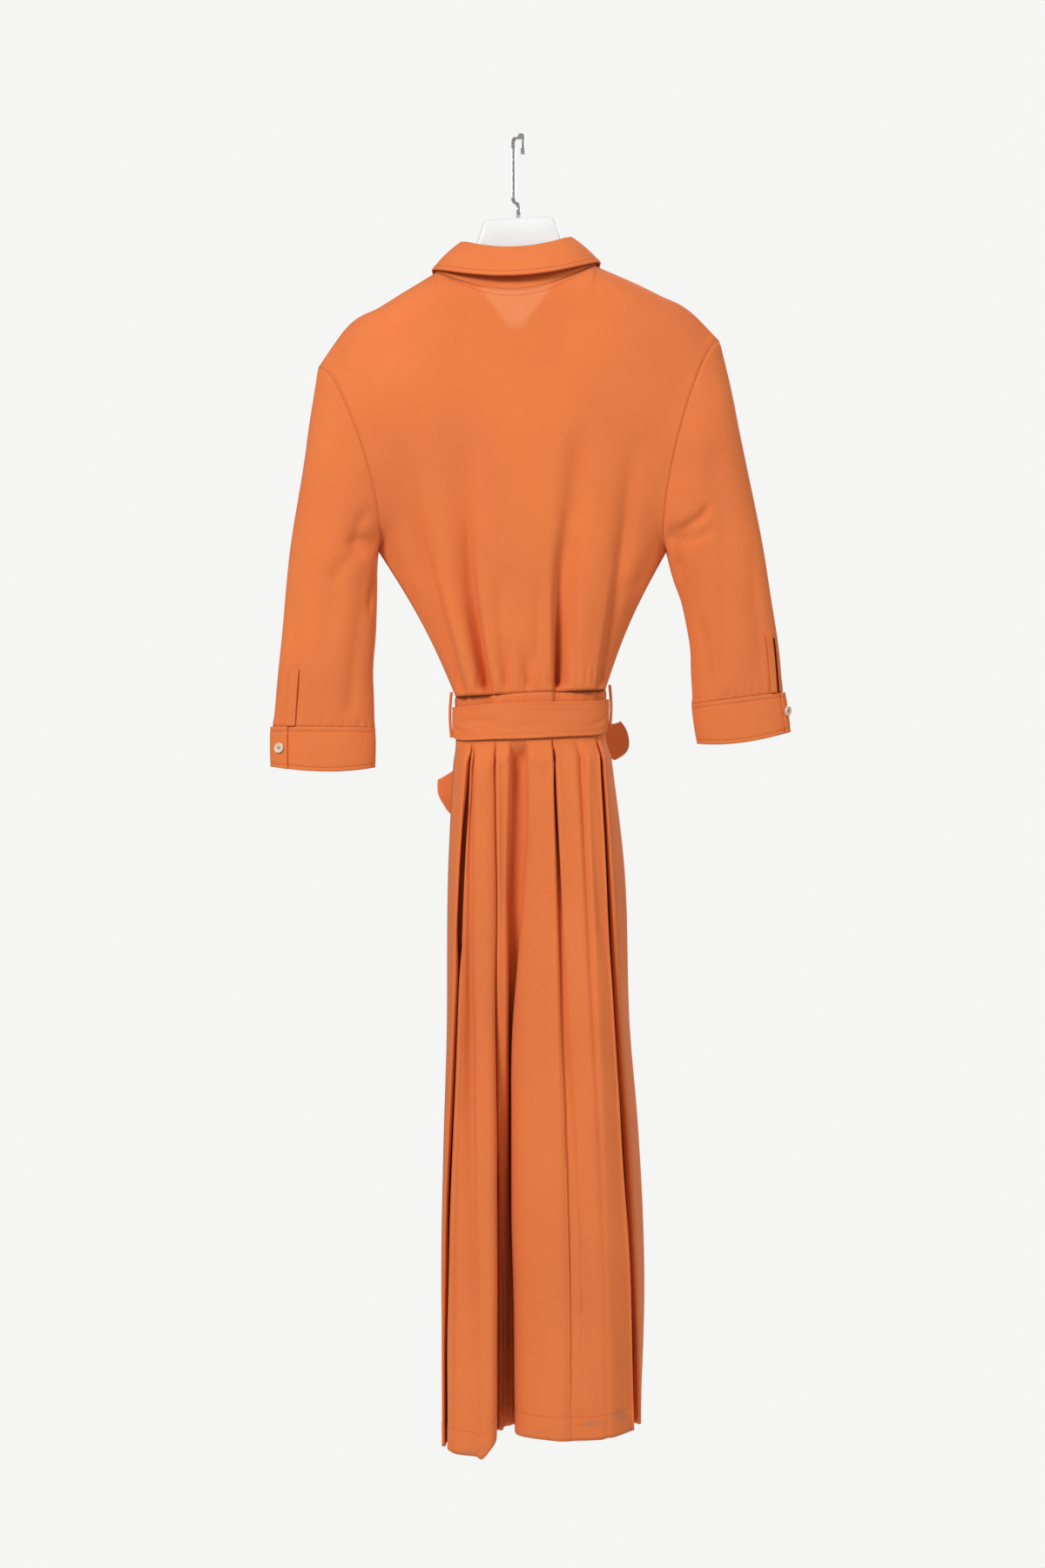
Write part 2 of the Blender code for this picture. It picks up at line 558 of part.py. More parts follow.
# back folds from the wearer's left to right: x across and y deep at each level, and the hem's height
BACK_FOLDS = [
    dict(x=[-70, -76, -78, -81, -84, -80], y=[2, 5, 12, 20, 30, 34], hem=-1399),
    dict(x=[-53, -61, -68, -75, -77, -77], y=[-14, -8, -2, 2, 0, -6], hem=-1400, slit=True),
    dict(x=[-48, -54, -61, -67, -70, -70], y=[-34, -34, -44, -52, -58, -60], hem=-1406),
    dict(x=[-30, -31, -32, -33, -31, -30], y=[-38, -40, -50, -58, -68, -70], hem=-1409),
    dict(x=[-26, -25, -25, -24, -22, -22], y=[-16, -12, -10, -8, 0, 5], hem=-1394, slit=True),
    dict(x=[-21, -19, -18, -17, -16, -17], y=[-39, -36, -27, -12, 3, 8], hem=-1392),
    dict(x=[-9, -12, -13, -12, -10, -10], y=[-40, -36, -26, -10, 4, 8], hem=-1392),
    dict(x=[-1, -5, -8, -7, -5, -4], y=[-32, -16, -6, -2, 2, 5], hem=-1391, slit=True),
    dict(x=[7, 1, -2, -2, 0, 1], y=[-40, -38, -42, -46, -52, -46], hem=-1391),
    dict(x=[33, 36, 42, 46, 48, 48], y=[-39, -48, -61, -67, -70, -71], hem=-1393),
    dict(x=[38, 42, 50, 55, 60, 61], y=[-9, -30, -52, -62, -70, -71], hem=-1394, slit=True),
    dict(x=[43, 47, 56, 61, 69, 72], y=[-39, -48, -61, -67, -71, -72], hem=-1394),
    dict(x=[60, 64, 69, 74, 79, 82], y=[-39, -52, -65, -69, -71, -71], hem=-1394),
    dict(x=[65, 70, 76, 82, 88, 90], y=[-30, -45, -58, -64, -69, -69], hem=-1393),
    dict(x=[70, 76, 83, 89, 96, 98], y=[-37, -49, -62, -66, -68, -66], hem=-1393),
    dict(x=[83, 89, 101, 107, 115, 119], y=[-31, -38, -46, -48, -46, -42], hem=-1391),
    dict(x=[87, 95, 107, 113, 121, 126], y=[-6, -8, -8, -8, -5, -4], hem=-1390, slit=True),
    dict(x=[94, 103, 113, 121, 129, 131], y=[-14, -12, -8, -4, 6, 10], hem=-1391),
    dict(x=[98, 113, 120, 128, 136, 132], y=[2, 5, 12, 20, 30, 34], hem=-1393),
]
# front folds, plainer: from each side seam to the edge under the button band
FRONT_FOLDS = {
    "left": [
        dict(x=[-70, -76, -78, -81, -84, -80], y=[2, 5, 12, 20, 30, 34], hem=-1399),
        dict(x=[-58, -66, -71, -75, -78, -77], y=[24, 30, 40, 50, 58, 60], hem=-1400),
        dict(x=[-38, -46, -52, -56, -60, -61], y=[32, 42, 54, 64, 72, 74], hem=-1401),
        dict(x=[-29, -35, -40, -43, -46, -47], y=[24, 28, 36, 44, 50, 52], hem=-1399),
        dict(x=[-20, -24, -28, -30, -32, -33], y=[34, 44, 58, 68, 77, 79], hem=-1401),
        dict(x=[-6, -8, -10, -11, -12, -13], y=[37, 47, 61, 71, 80, 82], hem=-1401),
        dict(x=[1, 1, 0, 0, 0, 0], y=[30, 36, 48, 58, 66, 68], hem=-1400),
        dict(x=[10.5, 14.5, 17.5, 19, 22, 24], y=[38, 46, 58, 68, 77, 79], hem=-1400),
    ],
    "right": [
        dict(x=[98, 113, 120, 128, 136, 132], y=[2, 5, 12, 20, 30, 34], hem=-1393),
        dict(x=[86, 103, 111, 119, 127, 126], y=[24, 30, 40, 50, 58, 60], hem=-1394),
        dict(x=[68, 84, 91, 99, 108, 108], y=[32, 42, 54, 64, 72, 74], hem=-1396),
        dict(x=[58, 69, 76, 84, 92, 93], y=[24, 28, 36, 44, 50, 52], hem=-1395),
        dict(x=[48, 56, 63, 70, 77, 78], y=[34, 44, 58, 68, 77, 79], hem=-1397),
        dict(x=[34, 40, 46, 52, 57, 58], y=[37, 47, 61, 71, 80, 82], hem=-1398),
        dict(x=[26, 30, 35, 39, 43, 44], y=[30, 36, 48, 58, 66, 68], hem=-1398),
        dict(x=[17.5, 21.5, 24.5, 26, 29, 31], y=[38, 46, 58, 68, 77, 79], hem=-1399),
    ],
}


def skirt_surface(folds, facing, rows, per_fold):
    """Middle of a skirt panel: round the waist ellipse under the belt, then through the folds' table."""
    place = []
    for fold in folds:
        if fold.get("slit"):
            place += [(np.array(fold["x"]) - SLIT_TIP, fold["y"], fold["hem"]),
                      (np.array(fold["x"]) + SLIT_TIP, fold["y"], fold["hem"])]
        else:
            place.append((np.array(fold["x"], float), fold["y"], fold["hem"]))
    down = np.concatenate([np.linspace(-SKIRT_TOP_Z, -BELT_BOTTOM_Z, 3),
                           np.linspace(LEVELS[0] + 2.0, LEVELS[-1], rows - 3)])
    order = np.arange(len(place), dtype=float)
    across = np.linspace(0, len(place) - 1, (len(place) - 1) * per_fold + 1)
    x = through(order, through(LEVELS, np.array([p[0] for p in place]).T, down).T, across).T
    y = through(order, through(LEVELS, np.array([p[1] for p in place], float).T, down).T, across).T
    hem = through(order, np.array([p[2] for p in place], float), across)[None, :]
    # under the belt, the same shares of the panel's width lie on the waist ellipse
    below = x[3:4]
    reach = (below - below[:, :1]) / (below[:, -1:] - below[:, :1])
    if facing < 0:
        turn = 1.5 * np.pi + np.arcsin(np.clip(2 * reach - 1, -1, 1))
    else:
        first = np.pi if below[0, 0] < 0 else 0.0
        last = 0.5 * np.pi + (BAND_ANGLE if below[0, 0] < 0 else -BAND_ANGLE)
        turn = first + (last - first) * np.clip(reach, 0, 1)
    ring_x, ring_y = waist_ring(turn)
    free = smooth_step(-BELT_BOTTOM_Z, LEVELS[0] + 12.0, down)[:, None]
    x = ring_x * (1 - free) + x * free
    y = ring_y * (1 - free) + y * free
    share = ((down + SKIRT_TOP_Z) / (LEVELS[-1] + SKIRT_TOP_Z))[:, None]
    z = SKIRT_TOP_Z + share * (hem - SKIRT_TOP_Z)
    y[:, 0] += 0.5 * SEAM_GAP * facing
    if facing < 0:
        y[:, -1] += 0.5 * SEAM_GAP * facing
    return np.stack([x, y, np.broadcast_to(z, x.shape)], axis=-1)


def skirt_panel(name, folds, facing, per_fold):
    """One skirt panel, its top rim level and its side rims flat in the seams."""
    grid = skirt_surface(folds, facing, SKIRT_ROWS, per_fold)
    normals = grid_normals(grid, False)
    normals[0, :, 2] = 0.0
    normals[:, 0, 1] = 0.0
    if facing < 0:
        normals[:, -1, 1] = 0.0
    normals /= np.linalg.norm(normals, axis=2, keepdims=True)
    wall(name, grid, JERSEY, normals=normals)
    return grid


skirt_panel("skirt_back", BACK_FOLDS, -1, 3)
skirt_fronts = {side: skirt_panel("skirt_front_" + side, FRONT_FOLDS[side], 1, 2)
                for side in ("left", "right")}


# --- Button band down the front --------------------------------------------------------------

BAND_HALF_WIDTH = 13.0
BAND_PROUD = CLOTH + SEAM_GAP + 0.5


def band_on(left, right, rows):
    """Strip over the fronts' edges, made from their own points and moved out."""
    offsets = np.linspace(-BAND_HALF_WIDTH, BAND_HALF_WIDTH, 4)
    strip = []
    for row in rows:
        beside = np.concatenate([left[row], right[row][::-1]])
        middle = 0.5 * (left[row][-1, 0] + right[row][-1, 0])
        x = middle + offsets
        strip.append(np.stack([x, np.interp(x, beside[:, 0], beside[:, 1]),
                               np.interp(x, beside[:, 0], beside[:, 2])], axis=-1))
    strip = np.array(strip)
    strip[..., 1] = strip[..., 1].max(axis=1, keepdims=True)
    return strip


def band(name, left, right, rows, foot=None):
    """One length of the band, clear of the cloth beneath it, carried straight down to its foot."""
    strip = band_on(left, right, rows)
    strip[..., 1] += BAND_PROUD
    if foot is not None:
        last = strip[-1:].copy()
        last[..., 2] = foot
        strip = np.concatenate([strip, last])
    level = np.zeros_like(strip)
    level[..., 1] = 1.0
    wall(name, strip, JERSEY, normals=level)
    return strip


def front_buttons(bands):
    """Buttons down the middle of the band, at one spacing, with none under the belt."""
    path = np.concatenate([strip.mean(axis=1) for strip in bands])
    number = 0
    for below in np.arange(12.0, -HEM_Z - 300.0, BUTTON_SPACING):
        z = path[0, 2] - below
        if BELT_BOTTOM_Z - 30.0 < z < BELT_TOP_Z + 16.0:
            continue
        number += 1
        place = through(-path[:, 2], path, np.array(-z))
        slope = through(-path[:, 2], path, np.array(-z + 4.0)) - place
        outwards = np.array([0.0, -slope[2], slope[1]])
        outwards /= np.linalg.norm(outwards)
        button(f"front_button_{number}", place + outwards * (CLOTH / 2 + SEAM_GAP + 0.3), outwards)


bodice_band = band("placket_bodice", front_grids["left"], front_grids["right"],
                   range(0, BODICE_ROWS), foot=BELT_TOP_Z + SEAM_GAP)
skirt_band = band("placket_skirt", skirt_fronts["left"], skirt_fronts["right"],
                  range(3, SKIRT_ROWS))
front_buttons([bodice_band, skirt_band])


# --- Tie belt, its carriers and its bow ------------------------------------------------------

BELT_PROUD = 2.9            # middle of the belt outside the middle of the waist
KNOT = dict(centre=(13.0, WAIST_HALF_DEPTH + BELT_PROUD + CLOTH / 2 + 7.15, -630.0),
            half=(13.0, 6.8, 17.0))
KNOT_CAP = np.radians(75.0)  # where the knot's rounded ends are cut flat
TAIL_WIDTH = 38.0
TAIL_STEP = 5.6             # the right end lies over the left one


def belt():
    """Band pulled round the waist over the seam, with its carriers at the sides."""
    turns = np.linspace(0, 2 * np.pi, 40, endpoint=False)
    height = np.linspace(BELT_TOP_Z, BELT_BOTTOM_Z, 3)
    z, turn = np.meshgrid(height, turns, indexing="ij")
    x, y = waist_ring(turn, BELT_PROUD)
    normals = grid_normals(np.stack([x, y, z], axis=-1), True)
    wall("belt_band", np.stack([x, y, z], axis=-1), JERSEY, closed=True, normals=normals)
    for side, sign in (("left", -1.0), ("right", 1.0)):
        share = np.linspace(0, 1, 7)
        z = BELT_TOP_Z + 14.0 - share * (BELT_TOP_Z - BELT_BOTTOM_Z + 8.0)
        away = WAIST_HALF_WIDTH + BELT_PROUD + 2.5 + 1.6 * np.sin(np.pi * share)
        middle = np.stack([WAIST_CENTRE + sign * away, np.zeros(7), z], axis=-1)
        strip = np.stack([middle + [0, -2.5, 0], middle + [0, 2.5, 0]], axis=1)
        wall("belt_carrier_" + side, strip, JERSEY, thickness=1.2)


def bow_loop(side, tip, root, spread):
    """Loop of the bow: the strip runs out from the knot, turns at its tip and comes back."""
    share = np.linspace(0, 1, 21)
    out = np.sin(np.pi * share)
    sway = np.cos(np.pi * share)
    root, tip = np.array(root, float), np.array(tip, float)
    path = root + (tip - root) * (out ** 0.8)[:, None]
    path[:, 1] += spread * sway * (0.35 + 0.65 * out)
    droop = np.array([0.0, 0.0, -9.0]) * (np.sin(np.pi * share) * (1 - out))[:, None]
    half = (0.40 + 0.60 * out) * TAIL_WIDTH / 2
    leaning = np.array([0.12 if side == "right" else -0.42, 0.0, 0.92])
    leaning /= np.linalg.norm(leaning)
    across = np.linspace(-1, 1, 4)[None, :, None]
    strip = (path + droop)[:, None] + across * half[:, None, None] * leaning
    wall("bow_loop_" + side, strip, JERSEY)


def belt_tail(side, foot):
    """End of the belt hanging from the knot before the button band."""
    share = np.linspace(0, 1, 11)
    start = np.array([KNOT["centre"][0] + (8.5 if side == "right" else -8.5), KNOT["centre"][1] + 0.5,
                      KNOT["centre"][2] - KNOT["half"][2] * np.sin(KNOT_CAP) - SEAM_GAP])
    path = start + (np.array(foot, float) - start) * share[:, None]
    path[:, 1] = through([0, 0.3, 0.6, 1.0], [start[1], 57.5, 66.0, foot[1]], share)
    half = (0.33 + 0.67 * smooth_step(0.0, 0.25, share)) * TAIL_WIDTH / 2
    across = np.linspace(-1, 1, 4)
    strip = np.repeat(path[:, None], 4, axis=1)
    strip[..., 0] += across * half[:, None]
    if side == "right":
        strip[..., 1] += TAIL_STEP * smooth_step(0.0, 0.12, share)[:, None]
    strip[..., 1] += 2.0 * across ** 2 * smooth_step(0.0, 0.25, share)[:, None]
    wall("belt_tail_" + side, strip, JERSEY)


def knot():
    """Knot of the belt: a rounded lump wrapped by the strip."""
    turns = np.linspace(0, 2 * np.pi, 16, endpoint=False)
    rings = []
    for height in np.linspace(-KNOT_CAP, KNOT_CAP, 7):
        width = np.cos(height) ** 0.5
        x = KNOT["half"][0] * width * np.cos(turns)
        y = KNOT["half"][1] * width * np.sign(np.sin(turns)) * np.abs(np.sin(turns)) ** 0.7
        rings.append(np.stack([x, y, np.full(16, KNOT["half"][2] * np.sin(height))], axis=-1))
    rings = np.array(rings) + np.array(KNOT["centre"])
    solid_rings("belt_knot", lean(rings), JERSEY)


belt()
knot()
bow_loop("left", (-85.0, 60.0, -709.0), (-1.7, 47.5, -634.0), 5.0)
bow_loop("right", (119.0, 58.0, -658.0), (26.5, 47.5, -632.0), 5.0)
belt_tail("left", (-14.0, 75.0, -985.0))
belt_tail("right", (38.0, 75.0, -1010.0))


# --- Hanger ----------------------------------------------------------------------------------

# distance from the middle: top height, bottom height, half the depth
HANGER = dict(
    place=[0.0, 34.0, 37.0, 39.5, 47.0, 62.0, 90.0, 125.0, 160.0, 182.0, 193.0],
    top=[-87.0, -87.3, -88.5, -93.0, -116.0, -132.0, -151.6, -169.0, -186.8, -202.5, -213.5],
    bottom=[-152.0, -152.0, -152.0, -152.0, -153.0, -160.0, -174.0, -192.0, -209.0, -219.0, -221.0],
    half_depth=[8.0, 8.0, 8.0, 8.0, 8.5, 9.0, 10.0, 11.0, 10.5, 7.0, 3.5])
HOOK_WIDTH = 4.2
HOOK_THICKNESS = 2.4
HOOK_CORNER = 10.0
HOOK_REACH = 18.5           # half the width inside the bend, to the strip's middle
HOOK_TIP_Z = -22.0
HOOK_SHANK_Z = -64.0
HOOK_SHIFT = -6.2           # the shank stands aside from the bend
HOOK_TIP_SHIFT = 4.0        # and the tip to the bend's other side
HOOK_CHAMFER = 0.6          # share of the half thickness left at the strip's edges
HOOK_CRANK = (1.5, -72.0)   # depth and height where the strip comes back under the bend
HOOK_STEM = (0.0, -76.0)
HOOK_FOOT_Z = -87.0 - LEAN  # just above the block's top


def hanger_body():
    """Moulded plastic: a neck block between two broad arms that follow the shoulders."""
    places = np.concatenate([-np.array(HANGER["place"][::-1]), HANGER["place"][1:]])
    turns = np.linspace(0, 2 * np.pi, 16, endpoint=False)
    rings = []
    for place in places:
        at = HANGER["place"].index(abs(place))
        top, bottom, deep = HANGER["top"][at], HANGER["bottom"][at], HANGER["half_depth"][at]
        middle, half = 0.5 * (top + bottom), 0.5 * (top - bottom)
        squareness = 0.6 if abs(place) < 45.0 else 1.0
        y = deep * np.sign(np.cos(turns)) * np.abs(np.cos(turns)) ** squareness
        z = middle + half * np.sign(np.sin(turns)) * np.abs(np.sin(turns)) ** squareness
        rings.append(np.stack([np.full(16, place), y, z], axis=-1))
    solid_rings("hanger_body", lean(np.array(rings)), PLASTIC)


def corner(middle_y, middle_z, start, end):
    """Quarter bend of the hook in the plane of x = 0."""
    turn = np.radians(np.linspace(start, end, 6))
    return [(middle_y + HOOK_CORNER * np.cos(t), middle_z + HOOK_CORNER * np.sin(t)) for t in turn]


def hanger_hook():
    """Flat strip bent over the rail, with its inside top at the origin, and set into the block."""
    crown = HOOK_THICKNESS / 2 - HOOK_CORNER
    bend = [(-HOOK_REACH, HOOK_TIP_Z)]
    bend += corner(-HOOK_REACH + HOOK_CORNER, crown, 180, 90)
    bend += corner(HOOK_REACH - HOOK_CORNER, crown, 90, 0)
    bend += [(HOOK_REACH, HOOK_SHANK_Z), HOOK_CRANK, HOOK_STEM]
    path = np.array([(0.0, y, z) for y, z in bend] + [(0.0, 0.0, HOOK_FOOT_Z + SEAM_GAP)])
    path[:, 0] = HOOK_SHIFT * smooth_step(-4.0, HOOK_REACH - 2.0, path[:, 1])
    arch = slice(2, 8)
    path[:2, 0] = HOOK_TIP_SHIFT
    path[arch, 0] = HOOK_TIP_SHIFT * (1 - smooth_step(-HOOK_REACH, 0.0, path[arch, 1]))
    along = np.gradient(path, axis=0)
    along[:, 0] = 0.0
    along /= np.linalg.norm(along, axis=1, keepdims=True)
    out = np.cross(along, [1.0, 0.0, 0.0]) * HOOK_THICKNESS / 2
    across = np.array([HOOK_WIDTH / 2, 0.0, 0.0])
    section = [(1.0, HOOK_CHAMFER), (0.75, 1.0), (-0.75, 1.0), (-1.0, HOOK_CHAMFER),
               (-1.0, -HOOK_CHAMFER), (-0.75, -1.0), (0.75, -1.0), (1.0, -HOOK_CHAMFER)]
    rings = np.stack([path + across * a + out * b for a, b in section], axis=1)
    solid_rings("hanger_hook", rings, CHROME)


hanger_body()
hanger_hook()
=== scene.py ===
import bpy
import numpy as np
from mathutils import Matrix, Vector


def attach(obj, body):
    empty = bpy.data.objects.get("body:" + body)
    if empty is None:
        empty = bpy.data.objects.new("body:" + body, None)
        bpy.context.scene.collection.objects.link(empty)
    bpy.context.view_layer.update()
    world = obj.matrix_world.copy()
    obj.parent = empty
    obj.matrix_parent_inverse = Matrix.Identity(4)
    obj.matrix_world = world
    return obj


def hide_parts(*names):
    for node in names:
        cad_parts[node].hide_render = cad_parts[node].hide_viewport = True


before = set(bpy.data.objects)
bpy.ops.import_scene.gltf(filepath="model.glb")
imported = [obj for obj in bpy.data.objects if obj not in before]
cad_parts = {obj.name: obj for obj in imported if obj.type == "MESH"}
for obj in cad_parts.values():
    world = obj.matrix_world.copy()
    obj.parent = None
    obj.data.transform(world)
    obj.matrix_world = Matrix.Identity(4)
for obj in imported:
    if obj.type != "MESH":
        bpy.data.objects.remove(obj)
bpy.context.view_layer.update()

# === Back bodice =============================================================================
# One piece of orange cotton jersey, cut with the shoulders, the back neck and both armholes.
# Four soft pleats and small gathers are sewn into the waist seam and open upwards.
# The hanger's arms and its pale neck piece show faintly through the cloth below the collar; only
# the neck piece is painted, as painted light in the cloth's colour.

MM = 0.001
CLOTH = 1.3                     # jersey, with the softness of its nap
LEAN = 0.045                    # sideways lean of the hanger, rise over run
SEAM_GAP = 0.04
WAIST_CENTRE, WAIST_HALF_WIDTH, WAIST_HALF_DEPTH, WAIST_Z = 12.5, 80.0, 36.0, -601.0
NECK_CENTRE, NECK_HALF_WIDTH, NECK_HALF_DEPTH = -4.0, 86.0, 47.0
SIGN = {"left": -1.0, "right": 1.0}             # across the picture
SIDE_TURN = {"left": np.pi, "right": 0.0}       # of the side seams round the waist and the neck


def through(stations, values, where):
    """Smooth curve through values at rising stations: cubics that share slopes at each station."""
    stations, values, where = (np.asarray(a, float) for a in (stations, values, where))
    slopes = np.gradient(values, stations, axis=0)
    i = np.clip(np.searchsorted(stations, where) - 1, 0, len(stations) - 2)
    span = stations[i + 1] - stations[i]
    t = np.clip((where - stations[i]) / span, 0.0, 1.0)
    t, span = (a.reshape(a.shape + (1,) * (values.ndim - 1)) for a in (t, span))
    return ((1 + 2 * t) * (1 - t) ** 2 * values[i] + t * (1 - t) ** 2 * span * slopes[i]
            + t * t * (3 - 2 * t) * values[i + 1] + t * t * (t - 1) * span * slopes[i + 1])


def smooth_step(low, high, where):
    """0 below low, 1 above high, and the S curve 3t^2 - 2t^3 between."""
    t = np.clip((where - low) / (high - low), 0.0, 1.0)
    return t * t * (3 - 2 * t)


def between(low, rise, fall, high, where):
    """1 from rise to fall, 0 below low and above high, and an S curve on the way."""
    return smooth_step(low, rise, where) * (1 - smooth_step(fall, high, where))


def unit(vectors):
    """The vectors divided by their lengths."""
    return vectors / np.linalg.norm(vectors, axis=-1, keepdims=True)


def grid_normals(grid, closed=False):
    """Unit cross product of a grid's differences down its rows and across its columns."""
    if closed:
        across = np.roll(grid, -1, axis=1) - np.roll(grid, 1, axis=1)
    else:
        across = np.gradient(grid, axis=1)
    normals = np.cross(np.gradient(grid, axis=0), across)
    return normals / np.maximum(np.linalg.norm(normals, axis=2, keepdims=True), 1e-9)


def lengths_along(grid, axis):
    """Running length of the grid's lines along one axis, in metres, from their middles."""
    steps = np.linalg.norm(np.diff(grid, axis=axis), axis=2)
    run = np.concatenate([np.zeros_like(np.take(steps, [0], axis)), np.cumsum(steps, axis)], axis)
    return (run - np.take(run, [run.shape[axis] // 2], axis)) * MM


def belongs(piece, replaced=None):
    """A piece of the one body: it rides on it and replaces its solid if it has one."""
    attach(piece, "root")
    if replaced:
        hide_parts(replaced)


def build_mesh(name, points, faces, look, uv=None, marks=None):
    """Object at the origin from millimetre points and quads; uv and marks are a row per point."""
    mesh = bpy.data.meshes.new(name)
    mesh.vertices.add(len(points))
    mesh.vertices.foreach_set("co", (points * MM).astype(np.float32).ravel())
    mesh.loops.add(faces.size)
    mesh.loops.foreach_set("vertex_index", faces.ravel().astype(np.int32))
    mesh.polygons.add(len(faces))
    starts = np.arange(0, faces.size, faces.shape[1], dtype=np.int32)
    mesh.polygons.foreach_set("loop_start", starts)
    mesh.polygons.foreach_set("use_smooth", np.ones(len(faces), bool))
    mesh.update(calc_edges=True)
    if uv is not None:
        layer = mesh.uv_layers.new(name="cloth")
        layer.data.foreach_set("uv", uv[faces.ravel()].astype(np.float32).ravel())
    for key, values in (marks or {}).items():
        mark = mesh.attributes.new(key, "FLOAT", "POINT")
        mark.data.foreach_set("value", values.astype(np.float32).ravel())
    mesh.validate()
    mesh.materials.append(look)
    made = bpy.data.objects.new(name, mesh)
    bpy.context.collection.objects.link(made)
    return made


def outward(points, faces):
    """The quads, turned over if the volume that they enclose comes out negative."""
    a, b, c, d = (points[faces[:, k]] for k in range(4))
    volume = np.sum(a * np.cross(b, c)) + np.sum(a * np.cross(c, d))
    return faces[:, ::-1] if volume < 0 else faces


def cloth(name, grid, look, closed=False, thickness=CLOTH, normals=None, cut=None, marks=None,
          leaning=True):
    """Thin closed shell about a grid of mid points: outer face, inner face and a rim all round."""
    normals = grid_normals(grid, closed) if normals is None else normals
    rows, columns = grid.shape[:2]
    kept = np.ones((rows - 1, columns if closed else columns - 1), bool)
    if cut is not None:
        kept[cut] = False
    index = np.arange(rows * columns).reshape(rows, columns)
    following = np.roll(index, -1, axis=1)
    across = kept.shape[1]
    a, b = index[:-1, :across], following[:-1, :across]
    c, d = following[1:, :across], index[1:, :across]
    padded = np.pad(kept, 1)
    if closed:
        padded[:, 0], padded[:, -1] = padded[:, -2].copy(), padded[:, 1].copy()
    back = rows * columns
    quads = [np.stack([a, b, c, d], -1)[kept], np.stack([d, c, b, a], -1)[kept] + back]
    for start, end, beyond in ((a, b, padded[:-2, 1:-1]), (c, d, padded[2:, 1:-1]),
                               (d, a, padded[1:-1, :-2]), (b, c, padded[1:-1, 2:])):
        edge = kept & ~beyond
        s, e = start[edge], end[edge]
        quads.append(np.stack([e, s, s + back, e + back], -1))
    faces = np.concatenate(quads)
    points = np.concatenate([(grid + normals * thickness / 2).reshape(-1, 3),
                             (grid - normals * thickness / 2).reshape(-1, 3)])
    if leaning:
        points[:, 2] += LEAN * points[:, 0]
    uv = np.stack([lengths_along(grid, 1).ravel(), lengths_along(grid, 0).ravel()], -1)
    both = {key: np.tile(values.ravel(), 2) for key, values in (marks or {}).items()}
    used, place = np.unique(faces, return_inverse=True)
    faces = outward(points[used], place.reshape(faces.shape))
    return build_mesh(name, points[used], faces, look, np.tile(uv, (2, 1))[used],
                      {key: values[used] for key, values in both.items()})


def plug(tree, shader, sockets):
    """Sets sockets, by number or by name with _ for a space, or joins an output to them."""
    for key, value in sockets.items():
        socket = shader.inputs[key if isinstance(key, int) else key.replace("_", " ")]
        if isinstance(value, bpy.types.NodeSocket):
            tree.links.new(value, socket)
        else:
            socket.default_value = value


def node(tree, kind, **sockets):
    """A shader node of one kind with its named sockets plugged."""
    made = tree.nodes.new(kind)
    plug(tree, made, sockets)
    return made


def maths(tree, operation, first, second=0.0, third=0.0):
    """One Math node of the given operation."""
    made = tree.nodes.new("ShaderNodeMath")
    made.operation = operation
    plug(tree, made, {0: first, 1: second, 2: third})
    return made.outputs[0]


def mixed(tree, share, first, second, blend="MIX"):
    """One colour Mix node, whose colour inputs are numbers 6 and 7."""
    made = tree.nodes.new("ShaderNodeMix")
    made.data_type, made.blend_type = "RGBA", blend
    plug(tree, made, {0: share, 6: first, 7: second})
    return made.outputs[2]


def noise(tree, where, scale, detail):
    """Noise from 0 to 1 over the given coordinates."""
    return node(tree, "ShaderNodeTexNoise", Vector=where, Scale=scale, Detail=detail).outputs[0]


def relief(tree, strength, distance, height):
    """Normal of a shallow relief."""
    bump = node(tree, "ShaderNodeBump", Strength=strength, Distance=distance, Height=height)
    return bump.outputs[0]


def material(name):
    """New material with its node tree, its shader and the object's own coordinates."""
    look = bpy.data.materials.new(name)
    look.use_nodes = True
    tree = look.node_tree
    place = node(tree, "ShaderNodeTexCoord").outputs["Object"]
    return look, tree, tree.nodes["Principled BSDF"], place


ORANGE_LIT = (0.835, 0.213, 0.056, 1.0)
ORANGE_DEEP = (0.655, 0.150, 0.043, 1.0)
PAINTED_SHOW_THROUGH = (0.900, 0.340, 0.150, 1.0)     # painted light: the pale plastic as if seen through the cloth
STAIN_GREY = (0.330, 0.180, 0.105, 1.0)
SHEEN_TINT = (1.0, 0.62, 0.42, 1.0)
STITCH_WIDTH, STITCH_HEIGHT = 0.00095, 0.00075    # one knit stitch, in metres


